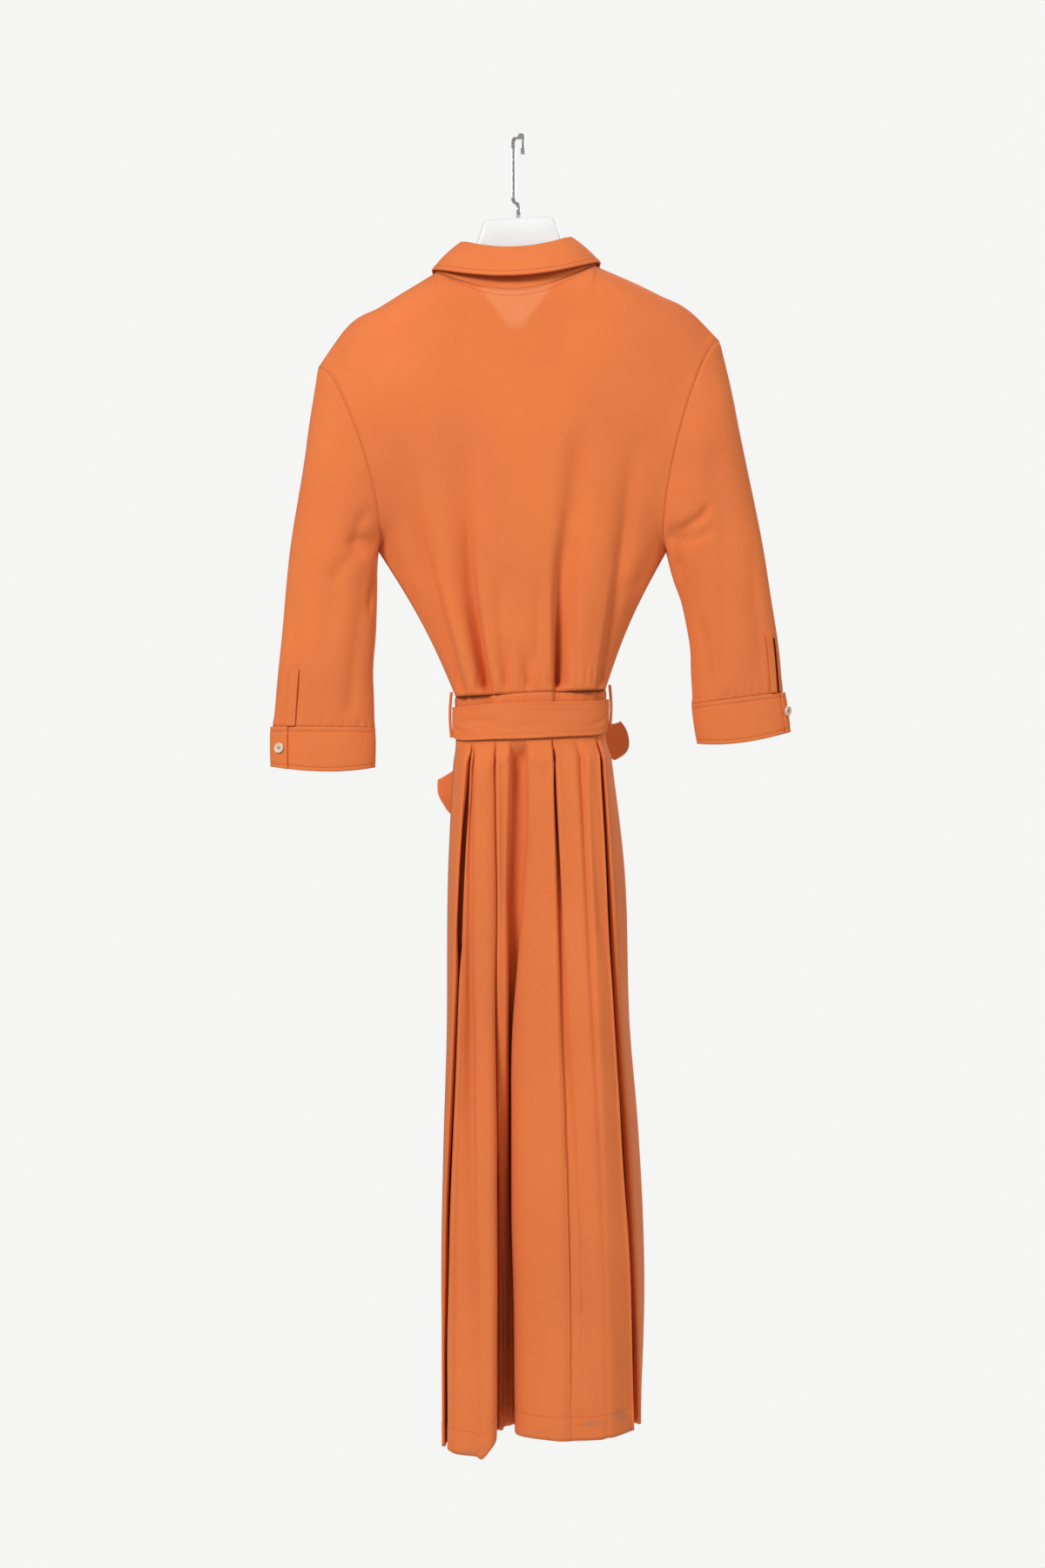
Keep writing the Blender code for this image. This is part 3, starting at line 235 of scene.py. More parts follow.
def jersey(name):
    """Knit cotton: columns of V stitches in the cloth's own UV, dye that varies, a soft nap, real
    stains, and painted light where the pale hanger shows through.
    """
    look, tree, shader, place = material(name)
    uv = tree.nodes.new("ShaderNodeUVMap")
    uv.uv_map = "cloth"
    split = node(tree, "ShaderNodeSeparateXYZ", Vector=uv.outputs[0])
    column = maths(tree, "DIVIDE", split.outputs[0], STITCH_WIDTH)
    arm = maths(tree, "ABSOLUTE", maths(tree, "SUBTRACT", maths(tree, "FRACT", column), 0.5))
    row = maths(tree, "ADD", maths(tree, "DIVIDE", split.outputs[1], STITCH_HEIGHT), arm)
    loops = maths(tree, "SINE", maths(tree, "MULTIPLY", row, 6.2832))
    wales = maths(tree, "COSINE", maths(tree, "MULTIPLY", column, 12.566))
    knit = maths(tree, "ADD", maths(tree, "MULTIPLY", loops, 0.35),
                 maths(tree, "MULTIPLY", wales, -0.3))
    cloudy = noise(tree, place, 9.0, 4.0)
    slub = noise(tree, uv.outputs[0], 420.0, 2.0)
    fuzz = noise(tree, place, 1500.0, 1.0)
    dye = mixed(tree, maths(tree, "MULTIPLY_ADD", cloudy, 0.9, -0.1), ORANGE_LIT, ORANGE_DEEP)
    shade = maths(tree, "MULTIPLY_ADD", slub, 0.16, 0.92)
    tone = node(tree, "ShaderNodeCombineColor", Red=shade, Green=shade, Blue=shade)
    dye = mixed(tree, 1.0, dye, tone.outputs[0], "MULTIPLY")
    # the "through" mark paints light from the pale hanger seen through the cloth into the colour;
    # the "stain" mark is real staining
    for attribute, colour in (("through", PAINTED_SHOW_THROUGH), ("stain", STAIN_GREY)):
        mark = tree.nodes.new("ShaderNodeAttribute")
        mark.attribute_name = attribute
        dye = mixed(tree, mark.outputs["Fac"], dye, colour)
    height = maths(tree, "ADD", knit, maths(tree, "MULTIPLY", fuzz, 0.5))
    plug(tree, shader, dict(
        Base_Color=dye, Normal=relief(tree, 0.45, 0.0003, height),
        Roughness=maths(tree, "MULTIPLY_ADD", slub, 0.12, 0.80), Sheen_Weight=0.12,
        Sheen_Roughness=0.45, Sheen_Tint=SHEEN_TINT, Specular_IOR_Level=0.25))
    return look


JERSEY = jersey("orange_jersey")


def waist_ring(turn, proud=0.0):
    """Waist ellipse at an angle from the wearer's right, the front at a quarter turn."""
    return (WAIST_CENTRE + (WAIST_HALF_WIDTH + proud) * np.cos(turn),
            (WAIST_HALF_DEPTH + proud) * np.sin(turn))


def neck_ring(turn):
    """Neck seam: an ellipse that drops 28 mm at the back and 72 mm at the front."""
    back, front = np.maximum(-np.sin(turn), 0.0), np.maximum(np.sin(turn), 0.0)
    return np.stack([NECK_CENTRE + NECK_HALF_WIDTH * np.cos(turn), NECK_HALF_DEPTH * np.sin(turn),
                     -143.0 - 28.0 * back ** 2 - 72.0 * front ** 1.5], axis=-1)


ARMHOLES = {
    "left": dict(tip=(-216.0, -238.5), underarm=(-155.0, -434.0), bow=20.0, depth=36.0),
    "right": dict(tip=(216.0, -230.0), underarm=(161.7, -449.0), bow=20.0, depth=36.0),
}


def armhole(side, turn):
    """Armhole seam: an ellipse from shoulder tip to underarm, bowed in at its back and front."""
    seam = ARMHOLES[side]
    tip, under = np.array(seam["tip"]), np.array(seam["underarm"])
    middle, half = (tip + under) / 2, (tip - under) / 2
    bow = SIGN[side] * seam["bow"] * np.abs(np.sin(turn))
    return np.stack([middle[0] + half[0] * np.cos(turn) - bow,
                     -seam["depth"] * np.sin(turn), middle[1] + half[1] * np.cos(turn)], axis=-1)


def armhole_normals(side, turn):
    """Directions away from the middle of the armhole, shared by the bodice and the sleeve."""
    half = unit(np.array(ARMHOLES[side]["tip"]) - np.array(ARMHOLES[side]["underarm"]))
    return np.stack([half[0] * np.cos(turn), -np.sin(turn), half[1] * np.cos(turn)], axis=-1)


def patch(top, bottom, left, right):
    """Coons patch: the sum of the two ruled grids less the bilinear one through the corners."""
    u = np.linspace(0, 1, len(top))[None, :, None]
    v = np.linspace(0, 1, len(left))[:, None, None]
    ruled = (1 - v) * top[None] + v * bottom[None] + (1 - u) * left[:, None] + u * right[:, None]
    return ruled - ((1 - u) * (1 - v) * top[0] + u * (1 - v) * top[-1]
                    + (1 - u) * v * bottom[0] + u * v * bottom[-1])


FINE_ROWS, FINE_COLUMNS = 8, 5          # steps in each step of the solids' grids
ARMHOLE_STEPS, SIDE_STEPS = 9, 7
SHOULDER_ROUNDING = 45.0


def shoulder_edge(side, share):
    """Top edge of one shoulder from its tip (0) to the neck seam (1), in the plane of y = 0."""
    tip = ARMHOLES[side]["tip"]
    neck = neck_ring(np.array(SIDE_TURN[side]))
    stations = [0.0, 0.15, 0.4, 1.0]
    across = through(stations, [tip[0], SIGN[side] * 187.0, SIGN[side] * 150.0, neck[0]], share)
    height = through(stations, [tip[1], -199.0, -177.0, neck[2]], share)
    return np.stack([across, np.zeros_like(across), height], axis=-1)


def side_edge(side, facing):
    """Armhole then side seam, from shoulder tip to waist; facing is 1 at the back, -1 in front."""
    turn = np.linspace(0, np.pi, ARMHOLE_STEPS * FINE_ROWS + 1)
    seam = armhole(side, turn * facing)
    seam[:, 0] -= SIGN[side] * 0.5 * SEAM_GAP
    waist = waist_ring(SIDE_TURN[side])
    share = np.linspace(0, 1, SIDE_STEPS * FINE_ROWS + 1)[1:, None]
    hollow = np.array([[-6.0 * SIGN[side], 0.0, 0.0]])
    end = np.array([waist[0], 0.0, WAIST_Z])
    below = seam[-1] + share * (end - seam[-1]) + np.sin(np.pi * share) * hollow
    return np.concatenate([seam, below])


def pull_in(grid, top, depth, sides, facing):
    """Depth of a bodice grid: the full depth in the middle, its edges' own at the sides and top."""
    full = facing * through(depth[0], depth[1], np.linspace(0, 1, grid.shape[0]))[:, None]
    below = np.clip(np.hypot(grid[..., 2] - top[None, :, 2],
                             grid[..., 0] - top[None, :, 0]) / SHOULDER_ROUNDING, 0, 1)
    rounding = np.sqrt(1 - (1 - below) ** 2)
    return top[None, :, 1] * (1 - rounding) + (sides[0] + (full - sides[0]) * sides[1]) * rounding


def pleat_depth(x, z, pleats):
    """Sum of depth times exp(-(distance / width)^2) by pleat, steeper on one side, fading up."""
    total = np.zeros_like(x)
    for waist, middle, top, depth, steep, soft, towards in pleats:
        heights = [waist[1], middle[1], top[1]]
        centre = through(heights, [waist[0], middle[0], top[0]], z)
        fade = 1.0 - smooth_step(heights[0] + 20.0, heights[2], z)
        aside = (x - centre) * towards
        spread = 0.75 + 1.3 * smooth_step(heights[0], heights[2], z)
        total += depth * fade * np.exp(-(aside / spread / np.where(aside > 0, steep, soft)) ** 2)
    return total


def trough(along, aside, depth, width, beyond=0.1):
    """Depth times exp(-(aside / width)^2), fading out where along passes 0 and 1."""
    return depth * between(-beyond, 0.3, 0.7, 1 + beyond, along) * np.exp(-(aside / width) ** 2)


def creases(grid, table):
    """Sum of the troughs beside the bowed lines of a table, over a grid's x and z."""
    x, z = grid[..., 0], grid[..., 2]
    total = np.zeros_like(x)
    for start, end, bow, depth, width in table:
        line = np.array(end, float) - start
        length = np.hypot(*line)
        along = ((x - start[0]) * line[0] + (z - start[1]) * line[1]) / length ** 2
        aside = ((x - start[0]) * line[1] - (z - start[1]) * line[0]) / length
        held = np.clip(along, 0, 1)
        total += trough(along, aside - bow * 4 * held * (1 - held), depth, width, 0.05)
    return total


def ripples(x, z, size, seed):
    """Small unevenness of hanging cloth: a sum of crossed sine waves, from about -1 to 1."""
    phase = np.random.default_rng(seed).uniform(0, 6.28, 8)
    waves = (np.sin(x / size + phase[0] + 0.8 * np.sin(z / (2.7 * size) + phase[1]))
             * np.sin(z / (2.2 * size) + phase[2])
             + 0.6 * np.sin(x / (0.55 * size) + phase[3]) * np.sin(z / (1.4 * size) + phase[4])
             + 0.4 * np.sin((x + z) / (0.8 * size) + phase[5]))
    return waves / 2.0


# waist, half way, top (x, z); depth; steep and soft widths; side that is steep
BACK_PLEATS = [
    ((-57, -600), (-97, -456), (-133, -330), 19, 3.2, 15, 1),
    ((-30, -600), (-52, -455), (-58, -330), 24, 3.0, 15, 1),
    ((-12, -600), (-14, -560), (-16, -530), 5, 4, 6, 1),
    ((8, -600), (8, -565), (7, -540), 5, 4, 6, -1),
    ((38.5, -600), (42, -480), (56, -380), 24, 3.0, 14, -1),
    ((84, -600), (108, -456), (121, -350), 16, 3.2, 13, -1),
]
# start, end (x, z), bow, depth, width
BACK_CREASES = [
    ((-163, -398), (-172, -452), 4, 3.0, 6), ((-150, -420), (-118, -470), 5, 2.0, 8),
    ((-146, -440), (-104, -520), 6, 2.4, 7), ((-118, -470), (-84, -560), 4, 2.0, 6),
    ((150, -440), (112, -505), -5, 2.2, 7), ((168, -405), (150, -446), -3, 2.4, 6),
    ((132, -470), (104, -545), -5, 1.8, 6), ((-20, -470), (-12, -590), 3, 1.6, 6),
    ((20, -470), (18, -592), -2, 1.5, 6), ((60, -480), (60, -590), 3, 1.8, 6),
    ((-75, -300), (-62, -420), 8, 1.8, 14), ((70, -300), (58, -430), -8, 1.8, 14),
    ((-170, -290), (-120, -350), 10, 1.2, 14), ((165, -290), (118, -360), -10, 1.2, 14),
    ((-128, -320), (-84, -500), 4, 4.0, 13), ((-60, -310), (-46, -500), 3, 4.2, 14),
    ((62, -320), (44, -500), -3, 4.2, 12), ((124, -330), (98, -500), -4, 4.0, 12),
    ((-10, -200), (-4, -330), 4, 0.8, 22), ((-48, -176), (-60, -250), 3, 0.8, 9),
    ((42, -172), (54, -250), -3, 0.8, 9), ((-110, -200), (-128, -300), 4, 0.9, 12),
]
PLEATS_AT_WAIST = 0.2                   # share of a pleat's depth that is left in the waist seam
BACK_DEPTH = ([0.0, 0.5, 0.8, 1.0], [48.0, 48.0, 42.0, WAIST_HALF_DEPTH])


def settled(grid, top, rounds=140):
    """Grid whose inner points take their neighbours' mean, round after round, below the top."""
    calm = grid.copy()
    for _ in range(rounds):
        calm[1:-1, 1:-1] = 0.25 * (calm[:-2, 1:-1] + calm[2:, 1:-1]
                                   + calm[1:-1, :-2] + calm[1:-1, 2:])
    fall = np.hypot(grid[..., 2] - top[None, :, 2], grid[..., 0] - top[None, :, 0])
    share = (0.25 + 0.75 * smooth_step(12.0, 55.0, fall))[..., None]
    share[0] = 0.0
    return grid * (1 - share) + calm * share


def seam_edges(grid, level_row, upright=()):
    """Grid normals laid level in one row's seam, and in the picture's plane in upright seams."""
    normals = grid_normals(grid)
    normals[level_row, :, 2] = 0.0
    for rows, columns in upright:
        normals[rows, columns, 1] = 0.0
    return unit(normals)


def thread(name):
    """Sewing thread a shade deeper than the cloth, with its slanting plies in its relief and
    painted shade in the grooves between them.
    """
    look, tree, shader, place = material(name)
    wave = node(tree, "ShaderNodeTexWave", Vector=place, Scale=900.0, Distortion=1.5)
    plies = wave.outputs["Fac"]
    # the colour follows the plies' relief: painted shade in the grooves, the lit colour on the
    # crests
    plug(tree, shader, dict(
        Base_Color=mixed(tree, plies, THREAD_PAINTED_SHADE, THREAD_LIT),
        Normal=relief(tree, 0.5, 0.0002, plies),
        Roughness=maths(tree, "MULTIPLY_ADD", plies, 0.1, 0.5)))
    return look


# lit colour and painted shade colour of the thread's plies
THREAD_LIT, THREAD_PAINTED_SHADE = (0.700, 0.150, 0.040, 1.0), (0.480, 0.085, 0.025, 1.0)
THREAD = thread("orange_thread")
STITCH_LENGTH, STITCH_SPACING, STITCH_HALF_WIDTH = 2.3, 3.0, 0.28
NECK_STITCHING = (1.6, 7.0)             # below the neck seam


def along_edge(grid, normals, distance, last=False):
    """Points and normals of a grid at one distance down its columns from its first or last row."""
    lines, ways = (grid[::-1], normals[::-1]) if last else (grid, normals)
    run = np.cumsum(np.linalg.norm(np.diff(lines, axis=0, prepend=lines[:1]), axis=2), axis=0)
    place = np.clip((run < distance).sum(axis=0), 1, len(lines) - 1)
    column = np.arange(lines.shape[1])
    before, after = run[place - 1, column], run[place, column]
    t = np.clip((distance - before) / np.maximum(after - before, 1e-6), 0, 1)[:, None]
    return lines[place - 1, column] * (1 - t) + lines[place, column] * t, ways[place, column]


def diamond(heart, side, up, half):
    """Four corners of a bar's cross-section about its heart."""
    return np.stack([heart - side * half, heart + up * half, heart + side * half,
                     heart - up * half], axis=-2)


def bar_faces(sections):
    """Quads of a bar closed at both ends, through its sections of four points."""
    around = np.arange(4)
    beside, last = (around + 1) % 4, 4 * sections - 4
    faces = [np.stack([4 * k + around, 4 * k + beside, 4 * k + 4 + beside, 4 * k + 4 + around], -1)
             for k in range(sections - 1)]
    return np.concatenate(faces + [[[3, 2, 1, 0], list(last + around)]])


def sewing(name, rows, proud=CLOTH / 2 + 0.05):
    """Rows of stitches: at even lengths along each path, a small bar that tapers into the cloth."""
    bars = []
    for path, outwards in rows:
        run = np.concatenate([[0.0], np.cumsum(np.linalg.norm(np.diff(path, axis=0), axis=1))])
        at = np.arange(STITCH_SPACING, run[-1] - STITCH_SPACING, STITCH_SPACING)
        middle, ahead, up = (np.stack([np.interp(where, run, values[:, k]) for k in range(3)], -1)
                             for where, values in ((at, path), (at + 0.6, path), (at, outwards)))
        along, up = unit(ahead - middle), unit(up)
        side = np.cross(along, up)
        bars.append(np.stack([
            diamond(middle + up * (proud + 0.18 * (size - 0.5)) + along * step * STITCH_LENGTH,
                    side, up, size * STITCH_HALF_WIDTH)
            for step, size in ((-0.5, 0.5), (0.0, 1.0), (0.5, 0.5))], axis=1))
    points = np.concatenate(bars)
    faces = (bar_faces(3)[None] + 12 * np.arange(len(points))[:, None, None]).reshape(-1, 4)
    points = points.reshape(-1, 3)
    points[:, 2] += LEAN * points[:, 0]
    made = build_mesh(name, points, outward(points, faces), THREAD)
    belongs(made)
    return made


shoulder = np.linspace(0, 1, 9 * FINE_COLUMNS + 1)
turns = np.linspace(np.pi, 2 * np.pi, 14 * FINE_COLUMNS + 1)
top = np.concatenate([shoulder_edge("left", shoulder), neck_ring(turns)[1:-1],
                      shoulder_edge("right", shoulder[::-1])])
columns = len(top)
x, y = waist_ring(np.linspace(np.pi, 2 * np.pi, columns))
bottom = np.stack([x, y, np.full(columns, WAIST_Z)], axis=-1)
left, right = side_edge("left", 1), side_edge("right", 1)
grid = patch(top, bottom, left, right)
u = np.linspace(-1, 1, columns)[None, :]
v = np.linspace(0, 1, len(left))[:, None]
fullness = (1 - np.abs(u) ** 3) ** 0.6
sides = np.where(u < 0, left[:, None, 1], right[:, None, 1])
grid[..., 1] = pull_in(grid, top, BACK_DEPTH, (sides, fullness), -1)
grid = settled(grid, top)
held = fullness * between(0.0, 0.08, 0.97, 1.0, v)
grid[..., 1] += pleat_depth(grid[..., 0], grid[..., 2], BACK_PLEATS) * fullness * (
    1 - (1 - PLEATS_AT_WAIST) * smooth_step(0.975, 1.0, v))
grid[..., 1] += creases(grid, BACK_CREASES) * 1.4 * held
grid[..., 1] += ripples(grid[..., 0], grid[..., 2], 26.0, 3) * 0.9 * held
gathers = np.sin(grid[..., 0] / 1.55 + 1.4 * np.sin(grid[..., 0] / 6.0))
grid[..., 1] += gathers * smooth_step(-570.0, -592.0, grid[..., 2]) * (1 - smooth_step(0.96, 1, v))
grid[0, :, 1] = top[:, 1]
grid[:, 0, 1], grid[:, -1, 1] = left[:, 1], right[:, 1]
neck_from = len(shoulder)
grid[0, :neck_from, 1] = grid[0, -neck_from:, 1] = -0.5 * SEAM_GAP
side_from = ARMHOLE_STEPS * FINE_ROWS
grid[side_from:, 0, 1] = grid[side_from:, -1, 1] = -0.5 * SEAM_GAP
side_seam = slice(side_from + 1, None)
normals = seam_edges(grid, -1, [(side_seam, 0), (side_seam, -1), (0, slice(0, neck_from)),
                                (0, slice(-neck_from, None))])
curve = np.linspace(0, np.pi, side_from + 1)
facing = -np.sign(normals[len(left) // 2, columns // 2, 1])
for column, side in ((0, "left"), (-1, "right")):
    normals[:side_from + 1, column] = facing * armhole_normals(side, curve)
# painted light: the pale neck piece of the hanger, as if seen through the cloth, is painted as a
# soft paler triangle with its point down
below_neck = -171.0 - grid[..., 2]
half_width = 33.0 * (1 - np.clip(below_neck / 44.0, 0, 1)) + 4.0
painted_show_through_share = smooth_step(half_width + 4.0, half_width - 4.0, np.abs(grid[..., 0] + 3.0))
painted_show_through_share = painted_show_through_share * smooth_step(48.0, 34.0, below_neck) * (grid[..., 2] > -225.0)
bodice_back = cloth("back_bodice", grid, JERSEY, normals=normals, marks={"through": 0.38 * painted_show_through_share})
belongs(bodice_back, "bodice_back")
sewing("sewing_waist", [along_edge(grid[:, 4:-4], facing * normals[:, 4:-4], 1.8, last=True)])
neck = slice(neck_from + 1, -neck_from - 1)
sewing("sewing_neck_back", [along_edge(grid[:, neck], facing * normals[:, neck], down)
                            for down in NECK_STITCHING])

# === Front bodices ===========================================================================
# Two pieces of the same jersey, one each side of the button band, plain apart from soft drapes
# that run from the shoulders and the sides into the waist.

FRONT_DEPTH = ([0.0, 0.5, 0.8, 1.0], [46.0, 48.0, 42.0, WAIST_HALF_DEPTH])
FRONT_EDGE, BAND_ANGLE = 3.0, 0.04      # of each front past the middle of the button band
FRONT_CREASES = [
    ((158, -402), (150, -452), 4, 2.4, 7), ((146, -440), (102, -520), -6, 2.2, 8),
    ((118, -470), (88, -575), -4, 2.4, 7), ((60, -440), (55, -592), -2, 2.6, 8),
    ((34, -470), (36, -594), 2, 2.4, 6), ((80, -420), (70, -590), 4, 1.8, 6),
    ((150, -260), (95, -380), -12, 1.6, 15), ((60, -230), (48, -400), 6, 1.4, 14),
]


def front_centre(z):
    """Where the button band lies across, at a height."""
    return through([215.0, 600.0, 1400.0], [-3.0, 12.5, 26.0], -np.asarray(z, float))


front_grids = {}
for side, sign in SIGN.items():
    shoulder = np.linspace(0, 1, 7 * FINE_COLUMNS + 1)
    start, stop = SIDE_TURN[side], 0.5 * np.pi - sign * 0.06
    top = np.concatenate([shoulder_edge(side, shoulder),
                          neck_ring(np.linspace(start, stop, 8 * FINE_COLUMNS + 1))[1:]])
    columns = len(top)
    x, y = waist_ring(np.linspace(start, 0.5 * np.pi - sign * BAND_ANGLE, columns))
    bottom = np.stack([x, y, np.full(columns, WAIST_Z)], axis=-1)
    outer = side_edge(side, -1)
    share = np.linspace(0, 1, len(outer))[:, None]
    inner = top[-1] + share * (bottom[-1] - top[-1])
    inner[:, 0] = front_centre(inner[:, 2]) + sign * FRONT_EDGE
    top[-1, 0], bottom[-1, 0] = inner[0, 0], inner[-1, 0]
    grid = patch(top, bottom, outer, inner)
    u = np.linspace(-1, 0, columns)[None, :]
    fullness = (1 - np.abs(u) ** 3) ** 0.6
    grid[..., 1] = pull_in(grid, top, FRONT_DEPTH, (outer[:, None, 1], fullness), 1)
    grid = settled(grid, top)
    held = fullness * smooth_step(0.0, -0.2, u) * between(0.0, 0.08, 0.96, 1.0, share)
    mirrored = [((sign * s[0] + 6, s[1]), (sign * e[0] + 6, e[1]), sign * bow, depth, width)
                for s, e, bow, depth, width in FRONT_CREASES]
    seed = 11 if side == "left" else 12
    grid[..., 1] -= creases(grid, mirrored) * held
    grid[..., 1] += ripples(grid[..., 0], grid[..., 2], 27.0, seed) * 0.7 * held
    grid[0, :, 1], grid[-1, :, 1] = top[:, 1], bottom[:, 1]
    grid[:, 0, 1] = outer[:, 1]
    grid[0, :len(shoulder), 1] = 0.5 * SEAM_GAP
    grid[side_from:, 0, 1] = 0.5 * SEAM_GAP
    normals = seam_edges(grid, -1, [(side_seam, 0), (0, slice(0, len(shoulder)))])
    facing = np.sign(normals[len(outer) // 2, columns // 2, 1])
    normals[:side_from + 1, 0] = facing * armhole_normals(side, -curve)
    bodice_front = cloth("front_bodice_" + side, grid, JERSEY, normals=normals)
    belongs(bodice_front, "bodice_front_" + side)
    neck = slice(len(shoulder) + 1, -7)
    sewing("sewing_neck_" + side, [along_edge(grid[:, neck], facing * normals[:, neck], down)
                                   for down in NECK_STITCHING])
    front_grids[side] = grid

# === Collar ==================================================================================
# A shirt collar in two pieces: a stand sewn to the neck with two rows of stitching, and a leaf
# that falls from the fold along the stand's top to two points at the front, stitched at its edge.

COLLAR_CENTRE = -3.0
FOLD = dict(half_width=60.0, back_depth=31.0, front_depth=31.0, squareness=1.0,
            side=-111.0, back=-12.5, front=-52.0)
LEAF_EDGE = dict(half_width=90.5, back_depth=57.0, front_depth=64.0, squareness=0.6,
                 side=-140.0, back=-18.0, front=-119.0)
STAND_INSET, STAND_LIFT = 4.3, 1.7


def collar_ring(turn, size, inset=0.0):
    """Ring of the collar at one level, dropping at its back and more at its front."""
    back, front = np.maximum(-np.sin(turn), 0.0), np.maximum(np.sin(turn), 0.0)
    deep = ((size["front_depth"] - inset) * front ** size["squareness"]
            - (size["back_depth"] - inset) * back)
    return np.stack([COLLAR_CENTRE + (size["half_width"] - inset) * np.cos(turn), deep,
                     size["side"] + size["back"] * back ** 2 + size["front"] * front ** 2], axis=-1)


def round_from_front(start_degrees, count):
    """Angles from just right of the front, past the back, to just left of the front."""
    start = np.radians(start_degrees)
    return np.linspace(0.5 * np.pi - start, -1.5 * np.pi + start, count)


turns = round_from_front(4.0, 241)
base = neck_ring(turns)
base[:, 2] += STAND_LIFT * np.where(np.sin(turns) > 0, 1.0, np.abs(np.cos(turns))) - 0.35
share = np.linspace(0, 1, 25)[:, None, None]
stand_grid = base[None] * (1 - share) + collar_ring(turns, FOLD, STAND_INSET)[None] * share
collar_stand = cloth("neck_stand", stand_grid, JERSEY, normals=seam_edges(stand_grid, 0),
                     thickness=1.8)
belongs(collar_stand, "collar_stand")

crest = collar_ring(round_from_front(7.0, 281), FOLD)
edge = collar_ring(round_from_front(30.0, 281), LEAF_EDGE)
share = np.linspace(0, 1, 33)[:, None, None]
leaf_grid = crest[None] * (1 - share) + edge[None] * share
around = np.linspace(0, 1, 281)[None, :]
leaf_grid[..., 2] += 2.5 * np.sin(np.pi * share[..., 0])
outwards = unit((leaf_grid - [COLLAR_CENTRE, 0.0, 0.0]) * [1, 1, 0])
share = share[..., 0]
swell = 1.1 * np.sin(2 * np.pi * 3.5 * around + 0.6) + 0.6 * np.sin(2 * np.pi * 9.0 * around)
leaf_grid += outwards * (np.abs(swell) * share ** 1.5 * (1 - share ** 8))[..., None]
# the folded edge is thicker than the cloth, and the topstitching draws a shallow groove beside it
edge_line = 1 + 0.35 * (share > 0.86) - 0.5 * np.exp(-((share - 0.86) / 0.03) ** 2)
collar_leaf = cloth("collar_fall", leaf_grid, JERSEY, thickness=1.6 * edge_line[..., None])
belongs(collar_leaf, "collar_leaf")
normals = grid_normals(leaf_grid)
normals *= np.sign(np.sum(normals[20, 140] * outwards[20, 140]))
sewing("sewing_collar", [along_edge(leaf_grid, normals, 5.0, last=True)]
       + [(leaf_grid[3:-6, column], normals[3:-6, column]) for column in (7, -8)], 1.1)

# === Sleeves =================================================================================
# Three-quarter tubes that hang nearly flat from the armholes, each slit up from its cuff at the
# back, with a narrow binding of the same jersey sewn over one side of the slit.

SLEEVE_SHARES = [0.0, 0.08, 0.22, 0.42, 0.62, 0.82, 1.0]       # of the length, for these tables
SLEEVE_DEPTH, SLEEVE_BOW = [36, 37, 35, 31, 27, 23, 19], [20, 11, 3, 0, 0, 0, 0]
SLEEVES = {
    "left": dict(outer=[(-216, -238.5), (-223, -280), (-232, -345), (-245, -425), (-253, -505),
                        (-260, -570), (-265, -624)],
                 inner=[(-155, -434), (-154.5, -452), (-154, -480), (-155, -520), (-157.5, -562),
                        (-157, -600), (-156, -630)]),
    "right": dict(outer=[(216, -230), (227, -274), (239, -335), (256, -420), (269, -495),
                         (279, -558), (284, -612)],
                  inner=[(161.7, -449), (162.5, -462), (167, -484), (177, -515), (185, -555),
                         (186.5, -590), (187, -620)]),
}
# angle round the sleeve and share of its length at each end, depth, width in millimetres
SLEEVE_CREASES = {
    "left": [(150, 0.02, 110, 0.25, 2.2, 7), (165, 0.05, 150, 0.40, 2.0, 6),
             (60, 0.05, 70, 0.35, 1.0, 12), (100, 0.30, 85, 0.75, 1.1, 9),
             (40, 0.55, 55, 0.95, 1.0, 7), (130, 0.60, 120, 0.97, 1.3, 7),
             (250, 0.10, 240, 0.60, 1.4, 10), (300, 0.40, 290, 0.95, 1.2, 9)],
    "right": [(150, 0.02, 120, 0.22, 2.6, 6), (140, 0.10, 150, 0.30, 2.0, 6),
              (70, 0.10, 80, 0.45, 1.1, 12), (95, 0.45, 110, 0.90, 1.2, 8),
              (50, 0.50, 60, 0.96, 0.9, 8), (135, 0.55, 125, 0.97, 1.4, 6),
              (250, 0.10, 240, 0.60, 1.4, 10), (300, 0.40, 290, 0.95, 1.2, 9)],
}
# the slit's angle, half its opening, its share of the length, and the binding's reach beside it
SLIT_ANGLE, SLIT_HALF = {"left": 50.0, "right": 27.0}, {"left": 2.2, "right": 5.0}
SLIT_LENGTH = 0.20
SLIT_LAP = {"left": (-6.0, 7.0), "right": (SLIT_HALF["right"], SLIT_HALF["right"] + 12.0)}
SLEEVE_RADIUS = 42.0                    # turns angles into millimetres of cloth
# creases at the underarm seen from the back: start, end (x, z), bow, depth, width
UNDERARM_CREASES = {
    "left": [((-160, -392), (-178, -446), 3, 3.0, 7), ((-156, -428), (-188, -436), 2, 2.4, 6),
             ((-166, -436), (-204, -478), 3, 2.2, 8), ((-164, -450), (-180, -570), -3, 2.0, 9)],
    "right": [((164, -436), (206, -408), 5, 4.4, 5.5), ((170, -444), (212, -432), 4, 2.6, 7),
              ((178, -441), (170, -482), 1, 2.0, 5), ((184, -466), (200, -570), 4, 2.0, 9)],
}
SLEEVE_FINE = 8


def sleeve_surface(side, share, turn):
    """Middle of the sleeve's cloth at a share of its length and an angle from its outer edge."""
    outer, inner, depth, bow = (
        through(SLEEVE_SHARES, values, share)
        for values in (SLEEVES[side]["outer"], SLEEVES[side]["inner"], SLEEVE_DEPTH, SLEEVE_BOW))
    middle, half = (outer + inner) / 2, (outer - inner) / 2
    cosine, sine = np.cos(turn), np.sin(turn)
    return np.stack([middle[..., 0] + half[..., 0] * cosine - SIGN[side] * bow * np.abs(sine),
                     -depth * sine, middle[..., 1] + half[..., 1] * cosine], axis=-1)


